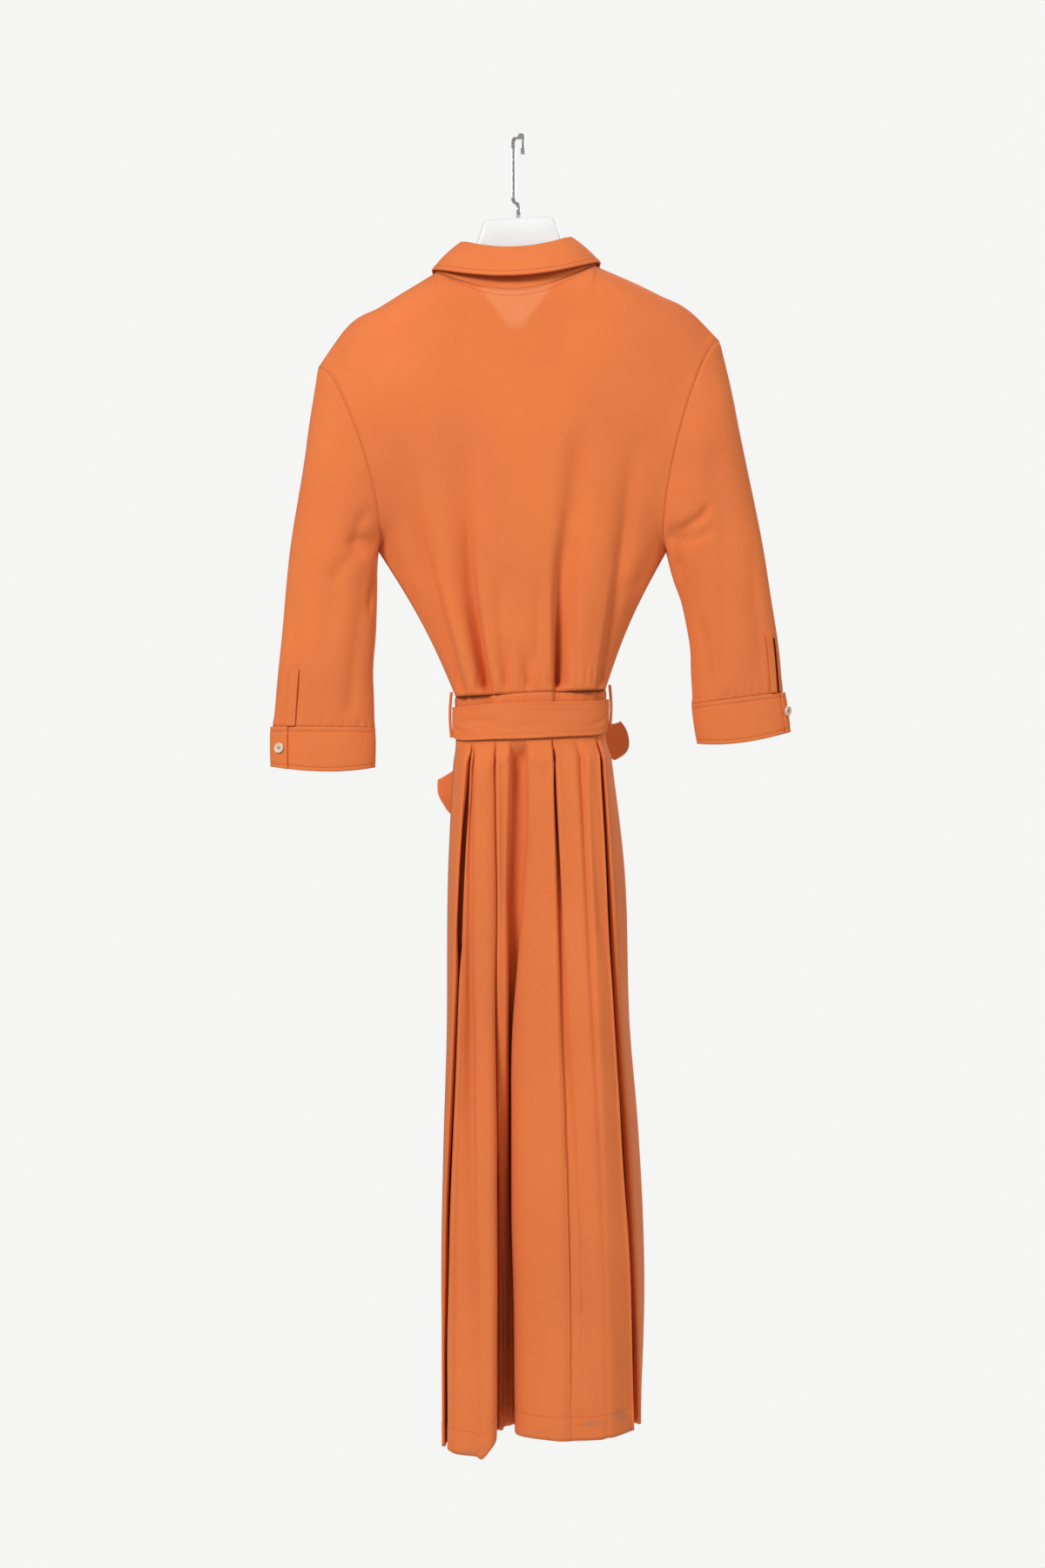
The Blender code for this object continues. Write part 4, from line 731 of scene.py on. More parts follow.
for side, sign in SIGN.items():
    slit, half = SLIT_ANGLE[side], SLIT_HALF[side]
    column = {"left": 2, "right": 1}[side] * SLEEVE_FINE
    around = 18 * SLEEVE_FINE
    even = np.linspace(0.0, 360.0, around, endpoint=False)
    beyond = column + SLEEVE_FINE * 3
    pinched = np.interp(np.arange(around), [0, column, column + 2, beyond, around],
                        [0.0, slit - half, slit + half, even[beyond], 360.0])
    rows = np.linspace(0, 1, 121)
    towards = smooth_step(0.2, 1 - SLIT_LENGTH, rows)[:, None]
    turn = np.radians(even * (1 - towards) + pinched * towards)
    share = np.repeat(rows[:, None], around, axis=1)
    grid = sleeve_surface(side, share, turn)
    grid[0, :, 0] += sign * 0.5 * SEAM_GAP
    normals = grid_normals(grid, True)
    from_hole = armhole_normals(side, turn[0])
    facing = np.sign(np.sum(normals[0] * from_hole))
    held = between(0.0, 0.05, 0.96, 1.0, share)
    press = np.zeros_like(share)
    for turn_from, share_from, turn_to, share_to, depth, width in SLEEVE_CREASES[side]:
        along = (share - share_from) / (share_to - share_from)
        line = np.radians(turn_from + (turn_to - turn_from) * np.clip(along, 0, 1))
        aside = (np.mod(turn - line + np.pi, 2 * np.pi) - np.pi) * SLEEVE_RADIUS
        press += trough(along, aside, 1.8 * depth, width)
    press += creases(grid, UNDERARM_CREASES[side]) * smooth_step(0.0, 0.3, np.sin(turn))
    seed = 21 if side == "left" else 22
    press += 0.8 * ripples(turn * SLEEVE_RADIUS, share * 390.0, 24.0, seed)
    puckers = 0.55 * np.sin(turn * SLEEVE_RADIUS / 1.3 + 1.5 * np.sin(turn * 9.0)) * smooth_step(
        0.93, 0.985, share)
    grid -= normals * facing * (press * held + puckers * (share < 0.999))[..., None]
    normals = grid_normals(grid, True)
    normals[0] = np.sign(np.sum(normals[0] * from_hole)) * from_hole
    normals[-1, :, 2] = 0.0
    open_rows = slice(int(120 * (1 - SLIT_LENGTH)), None)
    sleeve = cloth("sleeve_tube_" + side, grid, JERSEY, closed=True, normals=unit(normals),
                   cut=(open_rows, slice(column, column + 2)))
    share, turn = np.meshgrid(np.linspace(1 - SLIT_LENGTH * 1.12, 0.998, 41),
                              np.radians(slit + np.linspace(*SLIT_LAP[side], 15)), indexing="ij")
    strip = sleeve_surface(side, share, turn)
    outwards = grid_normals(strip)
    outwards *= np.sign(-outwards[20, 7, 1])
    binding = cloth("slit_band_" + side, strip + outwards * 2.0, JERSEY, normals=outwards)
    belongs(sleeve, "sleeve_" + side)
    belongs(binding, "slit_binding_" + side)

# === Cuffs ===================================================================================
# Deep band cuffs: a doubled strip round the wrist whose buttoned end laps over the other,
# topstitched along both edges and across the lap.

CUFF_HEIGHT, CUFF_OVERLAP, CUFF_LAYER = 43.0, 34.0, 2.5


def cuff_surface(side, turn, drop, proud=0.0):
    """Middle of a cuff's cloth at an angle and a drop below its seam, moved out by proud."""
    outer, inner = (np.array(SLEEVES[side][edge][-1], float) for edge in ("outer", "inner"))
    middle, half = (outer + inner) / 2, (outer - inner) / 2
    depth = SLEEVE_DEPTH[-1] + proud
    reach = half[0] + np.sign(half[0]) * proud
    flare = (6.0 if side == "right" else 0.0) * drop / CUFF_HEIGHT
    belly = 5.0 * np.sin(turn) ** 2 * drop / CUFF_HEIGHT
    return np.stack([middle[0] + flare + reach * np.cos(turn), -depth * np.sin(turn),
                     middle[1] + half[1] * np.cos(turn) - SEAM_GAP - drop - belly], axis=-1)


for side in ("left", "right"):
    end = SLIT_ANGLE[side] - 2.0
    drop, turn = np.meshgrid(np.linspace(0, CUFF_HEIGHT, 33),
                             np.linspace(end, end - 360.0 - CUFF_OVERLAP, 230), indexing="ij")
    proud = CUFF_LAYER * smooth_step(end - 135.0, end - CUFF_OVERLAP - 8.0, turn)
    grid = cuff_surface(side, np.radians(turn), drop, proud)
    normals = grid_normals(grid)
    normals *= np.sign(np.sum(normals[20, 130] * (grid[20, 130] - grid[20].mean(axis=0))))
    puff = 0.5 * np.sin(np.pi * drop / CUFF_HEIGHT) + 0.35 * ripples(turn * 0.9, drop, 11.0, 31)
    rim = np.minimum(drop, CUFF_HEIGHT - drop)
    grid += normals * (puff * smooth_step(0, 6, rim))[..., None]
    stitched = 1.0 - 0.35 * np.exp(-((rim - 4.5) / 1.1) ** 2)
    cuff = cloth("cuff_band_" + side, grid, JERSEY, thickness=1.9 * stitched[..., None],
                 normals=normals)
    belongs(cuff, "cuff_" + side)
    sewing("sewing_cuff_" + side,
           [along_edge(grid, normals, 4.5), along_edge(grid, normals, 4.5, last=True),
            (grid[3:-3, -11], normals[3:-3, -11])], 1.0)

# === Skirt back ==============================================================================
# A full, gathered panel of jersey falling from under the belt in deep soft folds of its own
# weight; its hem is turned up 25 mm and stitched, and is greyed by marks along that stitching.

LEVELS = [664.0, 790.0, 978.0, 1070.0, 1255.0, 1400.0]      # below the hook, for the folds
SKIRT_TOP_Z = WAIST_Z - SEAM_GAP
BELT_TOP_Z, BELT_BOTTOM_Z = -611.5, -650.5
SLIT_LIP = 0.9              # from a slit's inmost turn to its rounded lip
SKIRT_TOP_ROWS, SKIRT_FALL_ROWS = 16, 170
HEM_STITCHING = 25.0        # above the hem
# back folds from the wearer's left: x across and y deep at each level, and the hem's height;
# a slit is a fold drawn shut, open by its tip on each side at each level
BACK_FOLDS = [
    dict(x=[-70, -76, -78, -81, -84, -80], y=[2, 5, 12, 20, 30, 34], hem=-1399),
    dict(x=[-59, -67, -73, -77, -81.5, -81], y=[-29, -30, -34, -38, -40, -40], hem=-1399),
    dict(x=[-52, -60, -67, -71, -76, -77], y=[-14, -8, -8, -8, -16, -24], hem=-1400,
         slit=[0.7, 0.7, 0.7, 0.8, 0.9, 1.2]),
    dict(x=[-49.5, -56, -60, -62, -65, -66], y=[-31, -32, -42, -50, -57, -60], hem=-1405),
    dict(x=[-48, -51.5, -50, -49, -47, -46], y=[-29, -30, -39, -49, -61, -66], hem=-1407),
    dict(x=[-44, -45, -44, -43, -39, -38], y=[-38, -40, -50, -58, -67, -70], hem=-1409),
    dict(x=[-25.5, -25, -25, -24, -21, -21], y=[-16, -14, -16, -20, -12, -4], hem=-1394,
         slit=[0.7, 0.7, 0.7, 0.8, 2.6, 4.0]),
    dict(x=[-19, -18, -17, -17, -15, -15], y=[-40, -38, -36, -30, -4, 6], hem=-1392),
    dict(x=[-11, -12.5, -13, -12.5, -10.5, -10], y=[-39, -36, -32, -24, 2, 8], hem=-1392),
    dict(x=[-6, -8.5, -10, -9.5, -8, -7], y=[-25, -21, -10, -3, 4, 8], hem=-1391),
    dict(x=[8, 5.5, -5.5, -7, -5, -4], y=[-25, -21, -10, -3, 2, 5], hem=-1391),
    dict(x=[12, 8.5, -3, -4, -1.5, 0], y=[-40, -38, -40, -44, -50, -46], hem=-1391),
    dict(x=[31, 33, 35, 36, 38, 38], y=[-40, -48, -62, -68, -71, -72], hem=-1393),
    dict(x=[38, 42, 50, 55, 60, 61], y=[-9, -36, -57, -64, -70, -71], hem=-1394,
         slit=[0.9, 2.2, 4.5, 5.5, 6.0, 7.0]),
    dict(x=[47, 50, 62, 68, 76, 79], y=[-39, -48, -62, -67, -71, -72], hem=-1394),
    dict(x=[60, 65, 74, 79, 85, 88], y=[-39, -51, -65, -69, -71.5, -71], hem=-1394),
    dict(x=[65, 71, 80, 85, 91, 93], y=[-32, -46, -62, -67, -70.5, -69], hem=-1393),
    dict(x=[73, 78, 86, 91, 99, 101], y=[-38, -50, -63, -66, -68, -66], hem=-1393),
    dict(x=[83, 89, 98.5, 104, 115, 119], y=[-33, -42, -52, -55, -54, -50], hem=-1391),
    dict(x=[87.5, 93.5, 103, 109, 120, 124], y=[-8, -16, -20, -22, -20, -16], hem=-1390,
         slit=[0.7, 0.7, 0.8, 0.9, 1.0, 1.2]),
    dict(x=[92, 101, 111, 118, 127.5, 130], y=[-26, -32, -32, -30, -24, -16], hem=-1391),
    dict(x=[98, 113, 120, 128, 136, 132], y=[2, 5, 12, 20, 30, 34], hem=-1393),
]
# front folds, plainer: from each side seam to the edge under the button band, as deep on both sides
FRONT_FOLD_DEPTHS = [
    [2, 5, 12, 20, 30, 34], [24, 30, 40, 50, 58, 60], [32, 42, 54, 64, 72, 74],
    [24, 28, 36, 44, 50, 52], [34, 44, 58, 68, 77, 79], [37, 47, 61, 71, 80, 82],
    [30, 36, 48, 58, 66, 68], [38, 46, 58, 68, 77, 79]]
FRONT_FOLD_PLACES = {
    "left": [[-70, -76, -78, -81, -84, -80], [-58, -66, -71, -75, -78, -77],
             [-38, -46, -52, -56, -60, -61], [-29, -35, -40, -43, -46, -47],
             [-20, -24, -28, -30, -32, -33], [-6, -8, -10, -11, -12, -13],
             [1, 1, 0, 0, 0, 0], [10.5, 14.5, 17.5, 19, 22, 24]],
    "right": [[98, 113, 120, 128, 136, 132], [86, 103, 111, 119, 127, 126],
              [68, 84, 91, 99, 108, 108], [58, 69, 76, 84, 92, 93],
              [48, 56, 63, 70, 77, 78], [34, 40, 46, 52, 57, 58],
              [26, 30, 35, 39, 43, 44], [17.5, 21.5, 24.5, 26, 29, 31]],
}
FRONT_HEMS = {"left": [-1399, -1400, -1401, -1399, -1401, -1401, -1400, -1400],
              "right": [-1393, -1394, -1396, -1395, -1397, -1398, -1398, -1399]}
# folds finer than the solid's: start and end (x, z), bow, depth and width
BACK_SKIRT_CREASES = [
    ((-58, -690), (-66, -900), -2, 3.0, 5), ((-40, -700), (-47, -860), 2, 2.2, 5),
    ((-16, -668), (-15, -860), 0, 2.0, 4), ((20, -660), (10, -800), 3, 2.6, 5),
    ((27, -664), (26, -930), -2, 1.8, 6), ((53, -668), (62, -850), 2, 2.4, 5),
    ((76, -672), (92, -900), 2, 2.2, 5), ((-52, -900), (-56, -1180), 2, 1.6, 9),
    ((20, -880), (26, -1200), -3, 1.6, 13), ((14, -1130), (18, -1385), 2, 1.8, 12),
    ((50, -1000), (45, -1390), 3, 1.3, 14), ((84, -1010), (104, -1300), 2, 1.6, 9),
    ((-48, -1150), (-46, -1395), -2, 1.6, 10), ((-66, -1050), (-60, -1390), 2, 1.2, 7),
]
# where the marks lie along the hem: x, z, half width, half height, strength
HEM_STAINS = [(77, -1377, 13, 3.0, 0.55), (105, -1369, 7, 3.5, 0.6), (110, -1376, 10, 2.5, 0.5),
              (26, -1382, 9, 2.2, 0.45), (-49, -1401, 9, 2.6, 0.5), (118, -1385, 4, 5.0, 0.4),
              (50, -1379, 12, 1.6, 0.3), (-38, -1398, 6, 1.8, 0.35)]


def skirt_surface(folds, facing, per_fold):
    """Middle of a skirt panel: round the waist ellipse under the belt, then through the folds."""
    place = []                          # x and y at each level and the hem, for every line down
    for i, fold in enumerate(folds):
        x, y = np.array(fold["x"], float), np.array(fold["y"], float)
        if "slit" not in fold:
            place.append((x, y, fold["hem"]))
            continue
        open_by = np.array(fold["slit"])
        for way in (-1, 1):
            beside = folds[i + way]
            reach = np.abs(np.array(beside["x"]) - x)
            lip = np.minimum(open_by + SLIT_LIP, 0.62 * reach)
            turned = (x + way * np.minimum(open_by, 0.35 * reach), y, fold["hem"])
            rounded = (x + way * lip, y + (np.array(beside["y"]) - y) * 0.93, fold["hem"])
            place += [rounded, turned] if way < 0 else [turned, rounded]
    down = np.concatenate([np.linspace(-SKIRT_TOP_Z, -BELT_BOTTOM_Z, SKIRT_TOP_ROWS),
                           np.linspace(-BELT_BOTTOM_Z, LEVELS[-1], SKIRT_FALL_ROWS)[1:]])
    order = np.arange(len(place), dtype=float)
    across = np.linspace(0, len(place) - 1, (len(place) - 1) * per_fold + 1)
    held = np.maximum(down, LEVELS[0])
    xs, ys, hems = (np.array(values, float) for values in zip(*place))
    x, y = (through(order, through(LEVELS, values.T, held).T, across).T for values in (xs, ys))
    hem = through(order, hems, across)[None, :]
    # under the belt, the same shares of the panel's width lie on the waist ellipse
    reach = (x[:1] - x[:1, :1]) / (x[:1, -1:] - x[:1, :1])
    if facing < 0:
        turn = 1.5 * np.pi + np.arcsin(np.clip(2 * reach - 1, -1, 1))
    else:
        side = "left" if x[0, 0] < 0 else "right"
        first, last = SIDE_TURN[side], 0.5 * np.pi - SIGN[side] * BAND_ANGLE
        turn = first + (last - first) * np.clip(reach, 0, 1)
    ring_x, ring_y = waist_ring(turn)
    free = smooth_step(-BELT_BOTTOM_Z, LEVELS[0] + 12.0, down)[:, None]
    x, y = ring_x * (1 - free) + x * free, ring_y * (1 - free) + y * free
    share = ((down + SKIRT_TOP_Z) / (LEVELS[-1] + SKIRT_TOP_Z))[:, None]
    z = SKIRT_TOP_Z + share * (hem - SKIRT_TOP_Z)
    return np.stack([x, y, np.broadcast_to(z, x.shape)], axis=-1)


def blots(x, z, table):
    """Soft-edged marks: the greatest strength times exp(-(scaled distance)^4), broken up."""
    total = np.zeros_like(x)
    for across, up, wide, high, strength in table:
        away = np.hypot((x - across) / wide, (z - up) / high)
        total = np.maximum(total, strength * np.exp(-away ** 4))
    return total * (0.75 + 0.25 * np.sin(x * 0.9 + 1.7 * np.sin(z * 0.7)))


def skirt_panel(name, folds, facing, per_fold, extra, seed):
    """One skirt panel with its fine creases, turned hem and marks, its rims flat in the seams."""
    grid = skirt_surface(folds, facing, per_fold)
    normals = grid_normals(grid)
    normals *= facing * np.sign(normals[:, :, 1].sum())
    height = grid[..., 2].copy()
    run = np.linspace(0, 1, grid.shape[1])[None, :]
    inside = between(0, 0.04, 0.96, 1.0, run)
    below = smooth_step(BELT_BOTTOM_Z - 2, BELT_BOTTOM_Z - 40, height)
    steps = np.linalg.norm(np.diff(grid, axis=1, prepend=grid[:, :1]), axis=2)
    across = np.cumsum(steps, axis=1)
    press = creases(grid, extra) + 0.9 * ripples(across, height, 30.0, seed)
    # gathers pulled in by the belt: short crests that die out 85 mm below it
    fall = BELT_BOTTOM_Z - height
    gathers = np.sin(across / 2.3 + 1.3 * np.sin(across / 11.0)) * (
        1 - smooth_step(0, 85, fall)) * smooth_step(0, 12, fall)
    rise = height - height[-1:]
    pull = (0.5 * np.exp(-((rise - HEM_STITCHING) / 2.2) ** 2)
            + 0.3 * np.sin(across / 3.1) * np.exp(-((rise - 22) / 9) ** 2))
    # between the waist seam and the belt the gathers stand out a little
    above = between(-2.0, 1.5, 8, 14, WAIST_Z - height)
    above = above * (1.1 + 0.3 * np.sin(across / 1.7 + np.sin(across / 7.0)))
    grid += normals * ((above - press * below + 0.55 * gathers - pull) * inside)[..., None]
    side_rims = [(slice(None), 0)] if facing > 0 else [(slice(None), 0), (slice(None), -1)]
    if facing < 0:
        # the bodice's pleats run on through the waist seam and close under the belt
        tucked = smooth_step(BELT_TOP_Z - 14.0, BELT_TOP_Z - 2.0, grid[..., 2]) * inside
        off_centre = (grid[:1, :, 0] - WAIST_CENTRE) / WAIST_HALF_WIDTH
        turned = np.arcsin(np.clip(off_centre, -1, 1)) / (0.5 * np.pi)
        tucked = tucked * PLEATS_AT_WAIST * (1 - np.abs(turned) ** 3) ** 0.6
        grid[..., 1] += tucked * pleat_depth(
            grid[..., 0], np.full_like(run, WAIST_Z), BACK_PLEATS)
    for rim in side_rims:
        grid[rim + (1,)] += 0.5 * SEAM_GAP * facing
    normals = seam_edges(grid, 0, side_rims)
    doubled = CLOTH * (1 + 0.35 * (rise < 24.0))
    stains = HEM_STAINS if facing < 0 else []
    marks = blots(grid[..., 0], grid[..., 2], stains) * (grid[..., 1] < -20)
    made = cloth(name, grid, JERSEY, normals=normals, thickness=doubled[..., None],
                 marks={"stain": marks})
    belongs(made)
    outwards = normals * facing * np.sign(normals[:, :, 1].sum())
    sewing("sewing_hem_" + name,
           [along_edge(grid[:, 4:-4], outwards[:, 4:-4], HEM_STITCHING, last=True)])
    return made, grid


back_skirt = skirt_panel("back_skirt", BACK_FOLDS, -1, 7, BACK_SKIRT_CREASES, 41)[0]
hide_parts("skirt_back")

# === Skirt fronts ============================================================================
# The two front panels of the skirt, gathered like the back, that meet under the button band.

FRONT_SKIRT_CREASES = {
    "left": [((-48, -700), (-56, -980), 2, 1.8, 7), ((-12, -690), (-16, -960), 1, 1.6, 6),
             ((-66, -1000), (-72, -1380), 2, 1.8, 9), ((-20, -1050), (-24, -1390), 2, 1.4, 10)],
    "right": [((76, -700), (92, -980), 2, 1.8, 7), ((40, -690), (48, -960), 1, 1.6, 6),
              ((112, -1000), (118, -1380), 2, 1.8, 9), ((60, -1050), (66, -1390), 2, 1.4, 10)],
}
front_skirt_grids = {}
for side in SIGN:
    folds = [dict(x=x, y=y, hem=hem) for x, y, hem in zip(
        FRONT_FOLD_PLACES[side], FRONT_FOLD_DEPTHS, FRONT_HEMS[side])]
    front_skirt, front_skirt_grids[side] = skirt_panel(
        "front_skirt_" + side, folds, 1, 12, FRONT_SKIRT_CREASES[side],
        42 if side == "left" else 43)
    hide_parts("skirt_front_" + side)

# === Button band =============================================================================
# A doubled strip sewn down both fronts' edges, in one length above the belt and one below it.

BAND_HALF_WIDTH = 13.0
BAND_PROUD = 2.8            # clear of the cloth beneath it


def band_on(left, right, first, last):
    """Strip over the fronts' edges, made from their own points and moved out."""
    offsets = np.linspace(-BAND_HALF_WIDTH, BAND_HALF_WIDTH, 17)
    strip = []
    for row in range(first, last):
        beside = np.concatenate([left[row], right[row][::-1]])
        x = 0.5 * (left[row][-1, 0] + right[row][-1, 0]) + offsets
        strip.append(np.stack([x, np.interp(x, beside[:, 0], beside[:, 1]),
                               np.interp(x, beside[:, 0], beside[:, 2])], axis=-1))
    strip = np.array(strip)
    strip[..., 1] = strip[..., 1].max(axis=1, keepdims=True) + BAND_PROUD
    return strip


def band(name, replaced, strip):
    """One length of the band: flat across, a little wavy downwards, thin along its stitching."""
    strip = strip.copy()
    down = strip[..., 2]
    offset = np.linspace(-BAND_HALF_WIDTH, BAND_HALF_WIDTH, strip.shape[1])[None, :]
    from_edge = BAND_HALF_WIDTH - np.abs(offset)
    strip[..., 1] += 0.4 + 0.4 * np.sin(down / 17.0 + 0.2 * offset) * smooth_step(0, 4, from_edge)
    level = np.zeros_like(strip)
    level[..., 1] = 1.0
    stitched = 1.0 - 0.35 * np.exp(-((np.abs(offset) - 9.5) / 1.0) ** 2) + 0 * down
    made = cloth(name, strip, JERSEY, normals=level, thickness=1.8 * stitched[..., None])
    belongs(made, replaced)
    sewing("sewing_" + name, [(strip[:, column], level[:, column]) for column in (2, -3)], 0.95)


upper_band = band_on(front_grids["left"], front_grids["right"], 0, 16 * FINE_ROWS + 1)
foot = upper_band[-1:].copy()
foot[..., 2] = BELT_TOP_Z + 2.3
upper_band = np.concatenate([upper_band, foot])
lower_band = band_on(front_skirt_grids["left"], front_skirt_grids["right"], SKIRT_TOP_ROWS + 2,
                     SKIRT_TOP_ROWS + SKIRT_FALL_ROWS - 1)
band("front_band_upper", "placket_bodice", upper_band)
band("front_band_lower", "placket_skirt", lower_band)

# === Tie belt ================================================================================
# A long strip of the jersey, doubled and topstitched at both edges, drawn round the waist so
# that it creases lengthways, held by a thread-narrow carrier at each side and tied in front.

BELT_PROUD = 2.9            # middle of the belt outside the middle of the waist
BELT_WIDTH, TAIL_WIDTH = 41.0, 38.0
TAIL_STEP = 5.6             # the right tail lies this far before the left one
KNOT_CENTRE = np.array([13.0, WAIST_HALF_DEPTH + 11.05, -630.0])
KNOT_HALF = np.array([13.0, 6.8, 17.0])
KNOT_CAP = np.radians(75.0)
# angle round the waist and share of the height at each end, depth, width in millimetres
BELT_CREASES = [(196, 0.42, 250, 0.50, 0.5, 4.0), (232, 0.72, 290, 0.62, 0.4, 4.0),
                (268, 0.25, 335, 0.35, 0.4, 4.2), (188, 0.62, 215, 0.80, 0.8, 3.0),
                (318, 0.72, 352, 0.50, 0.8, 3.0), (20, 0.4, 80, 0.5, 1.2, 2.4),
                (100, 0.5, 165, 0.4, 1.2, 2.4)]


share, turn = np.meshgrid(np.linspace(0, 1, 37), np.linspace(0, 2 * np.pi, 260, endpoint=False),
                          indexing="ij")
x, y = waist_ring(turn, BELT_PROUD)
# the drawn belt rises and falls a little at its upper edge and rolls at its lower one
rolled = 0.9 * np.sin(4 * turn + 2.0) - 7.0 * np.abs(np.cos(turn)) ** 12
height = BELT_TOP_Z + 0.9 * np.sin(3 * turn + 0.7) - share * (
    BELT_TOP_Z - BELT_BOTTOM_Z - 0.8 + rolled)
grid = np.stack([x, y, height], axis=-1)
normals = grid_normals(grid, True)
normals *= np.sign(np.sum(normals[20, 0] * [1.0, 0.0, 0.0]))
press = 0.35 * ripples(turn * 60.0, share * BELT_WIDTH, 9.0, 51)
for turn_from, share_from, turn_to, share_to, depth, width in BELT_CREASES:
    along = (np.degrees(turn) - turn_from) / (turn_to - turn_from)
    aside = (share - share_from - (share_to - share_from) * np.clip(along, 0, 1)) * BELT_WIDTH
    press += trough(along, aside, depth, width)
edge = np.minimum(share, 1 - share) * BELT_WIDTH
grid += normals * (0.7 - press * smooth_step(0, 5, edge))[..., None]
stitched = 1.0 - 0.3 * np.exp(-((edge - 4.5) / 1.0) ** 2)
belt_band = cloth("waist_belt", grid, JERSEY, closed=True, normals=normals,
                  thickness=2.0 * stitched[..., None])
belongs(belt_band, "belt_band")

for side, sign in SIGN.items():
    share = np.linspace(0, 1, 41)
    fall = BELT_TOP_Z + 16.0 - share * (BELT_TOP_Z - BELT_BOTTOM_Z + 10.0)
    away = WAIST_HALF_WIDTH + BELT_PROUD + 2.5 + 1.6 * np.sin(np.pi * share)
    middle = np.stack([WAIST_CENTRE + sign * away, np.zeros(41), fall], axis=-1)
    strip = middle[:, None] + np.array([0.0, 1.0, 0.0]) * np.linspace(-2.5, 2.5, 7)[None, :, None]
    carrier = cloth("carrier_" + side, strip, JERSEY, thickness=3.0)
    belongs(carrier, "belt_carrier_" + side)


BOW_ROUNDING = {"left": 6.0, "right": 13.0}


def bow_loop(side, tip, root, spread):
    """Loop of the bow: the strip runs out from the knot, turns at its tip and comes back."""
    share = np.linspace(0, 1, 121)[:, None]
    out = np.sin(np.pi * share)
    root, tip = np.array(root, float), np.array(tip, float)
    path = root + (tip - root) * out ** 0.8
    path[:, 1:2] += spread * np.cos(np.pi * share) * (0.35 + 0.65 * out)
    path[:, 2:] -= 9.0 * out * (1 - out)
    half = (0.40 + 0.60 * out) * TAIL_WIDTH / 2 + (2.5 if side == "left" else 2.0) * out
    leaning = unit(np.array([0.12 if side == "right" else -0.42, 0.0, 0.92]))
    across = np.linspace(-1, 1, 25)
    strip = path[:, None] + (across * half)[..., None] * leaning
    # the fold at the tip is rounded: its corners lie back towards the knot and curl to the front
    back = out ** 5 * np.abs(across) ** 2.4
    strip += back[..., None] * (unit(root - tip) * BOW_ROUNDING[side] + [0.0, 3.0, 0.0])
    # pleats drawn together at the knot, fading outwards
    drawn = 1 - smooth_step(0.15, 0.8, out)
    waves = 0.9 * drawn * np.cos(across * 9.0) + 0.5 * np.sin(5.0 * across + 12.0 * share)
    strip += grid_normals(strip) * (waves * out)[..., None]
    made = cloth("loop_" + side, strip, JERSEY, thickness=1.8)
    belongs(made, "bow_loop_" + side)


def belt_tail(side, foot):
    """End of the belt hanging from the knot before the button band, curled a little across."""
    share = np.linspace(0, 1, 181)[:, None]
    under_knot = [SIGN[side] * 8.5, 0.5, -KNOT_HALF[2] * np.sin(KNOT_CAP) - SEAM_GAP]
    start = KNOT_CENTRE + under_knot
    path = start + (np.array(foot, float) - start) * share
    path[:, 1] = through([0, 0.3, 0.6, 1.0], [start[1], 57.5, 66.0, foot[1]], share[:, 0])
    opening = smooth_step(0.0, 0.25, share)
    across = np.linspace(-1, 1, 25)
    strip = np.repeat(path[:, None], 25, axis=1)
    sway = 1.4 * np.sin(4.4 * share + (1.0 if side == "left" else 2.4))
    strip[..., 0] += across * (0.33 + 0.67 * opening) * TAIL_WIDTH / 2 + sway
    if side == "right":
        strip[..., 1] += TAIL_STEP * smooth_step(0.0, 0.12, share)
    drawn = (1 - smooth_step(0.05, 0.4, share)) * smooth_step(0, 0.03, share)
    strip[..., 1] += 2.0 * across ** 2 * opening + 0.8 * drawn * np.cos(across * 9.0)
    # the end is cut aslant
    strip[..., 2] += SIGN[side] * 5.0 * across * smooth_step(0.8, 1.0, share)
    made = cloth("tail_" + side, strip, JERSEY, thickness=1.7)
    belongs(made, "belt_tail_" + side)


def squared(wave, power):
    """A sine or cosine to a power, its sign kept: below 1 it squares an ellipse's corners."""
    return np.sign(wave) * np.abs(wave) ** power


def end_capped(name, rings, look, leaning=True):
    """Closed solid through rings of points, each end closed by a fan about its middle."""
    count, around = rings.shape[:2]
    points = np.concatenate([rings.reshape(-1, 3), rings[:1].mean(axis=1), rings[-1:].mean(axis=1)])
    index = np.arange(count * around).reshape(count, around)
    following = np.roll(index, -1, axis=1)
    sides = np.stack([index[:-1], following[:-1], following[1:], index[1:]], -1).reshape(-1, 4)
    fan = np.arange(0, around, 2)
    after = (fan + 1) % around
    first, last = (np.full(len(fan), count * around + k) for k in (0, 1))
    caps = [np.stack([first, following[0][after], following[0][fan], index[0][fan]], -1),
            np.stack([last, index[-1][fan], following[-1][fan], following[-1][after]], -1)]
    faces = outward(points, np.concatenate([sides] + caps))
    if leaning:
        points[:, 2] += LEAN * points[:, 0]
    return build_mesh(name, points, faces, look, np.stack([points[:, 0], points[:, 2]], -1) * MM)


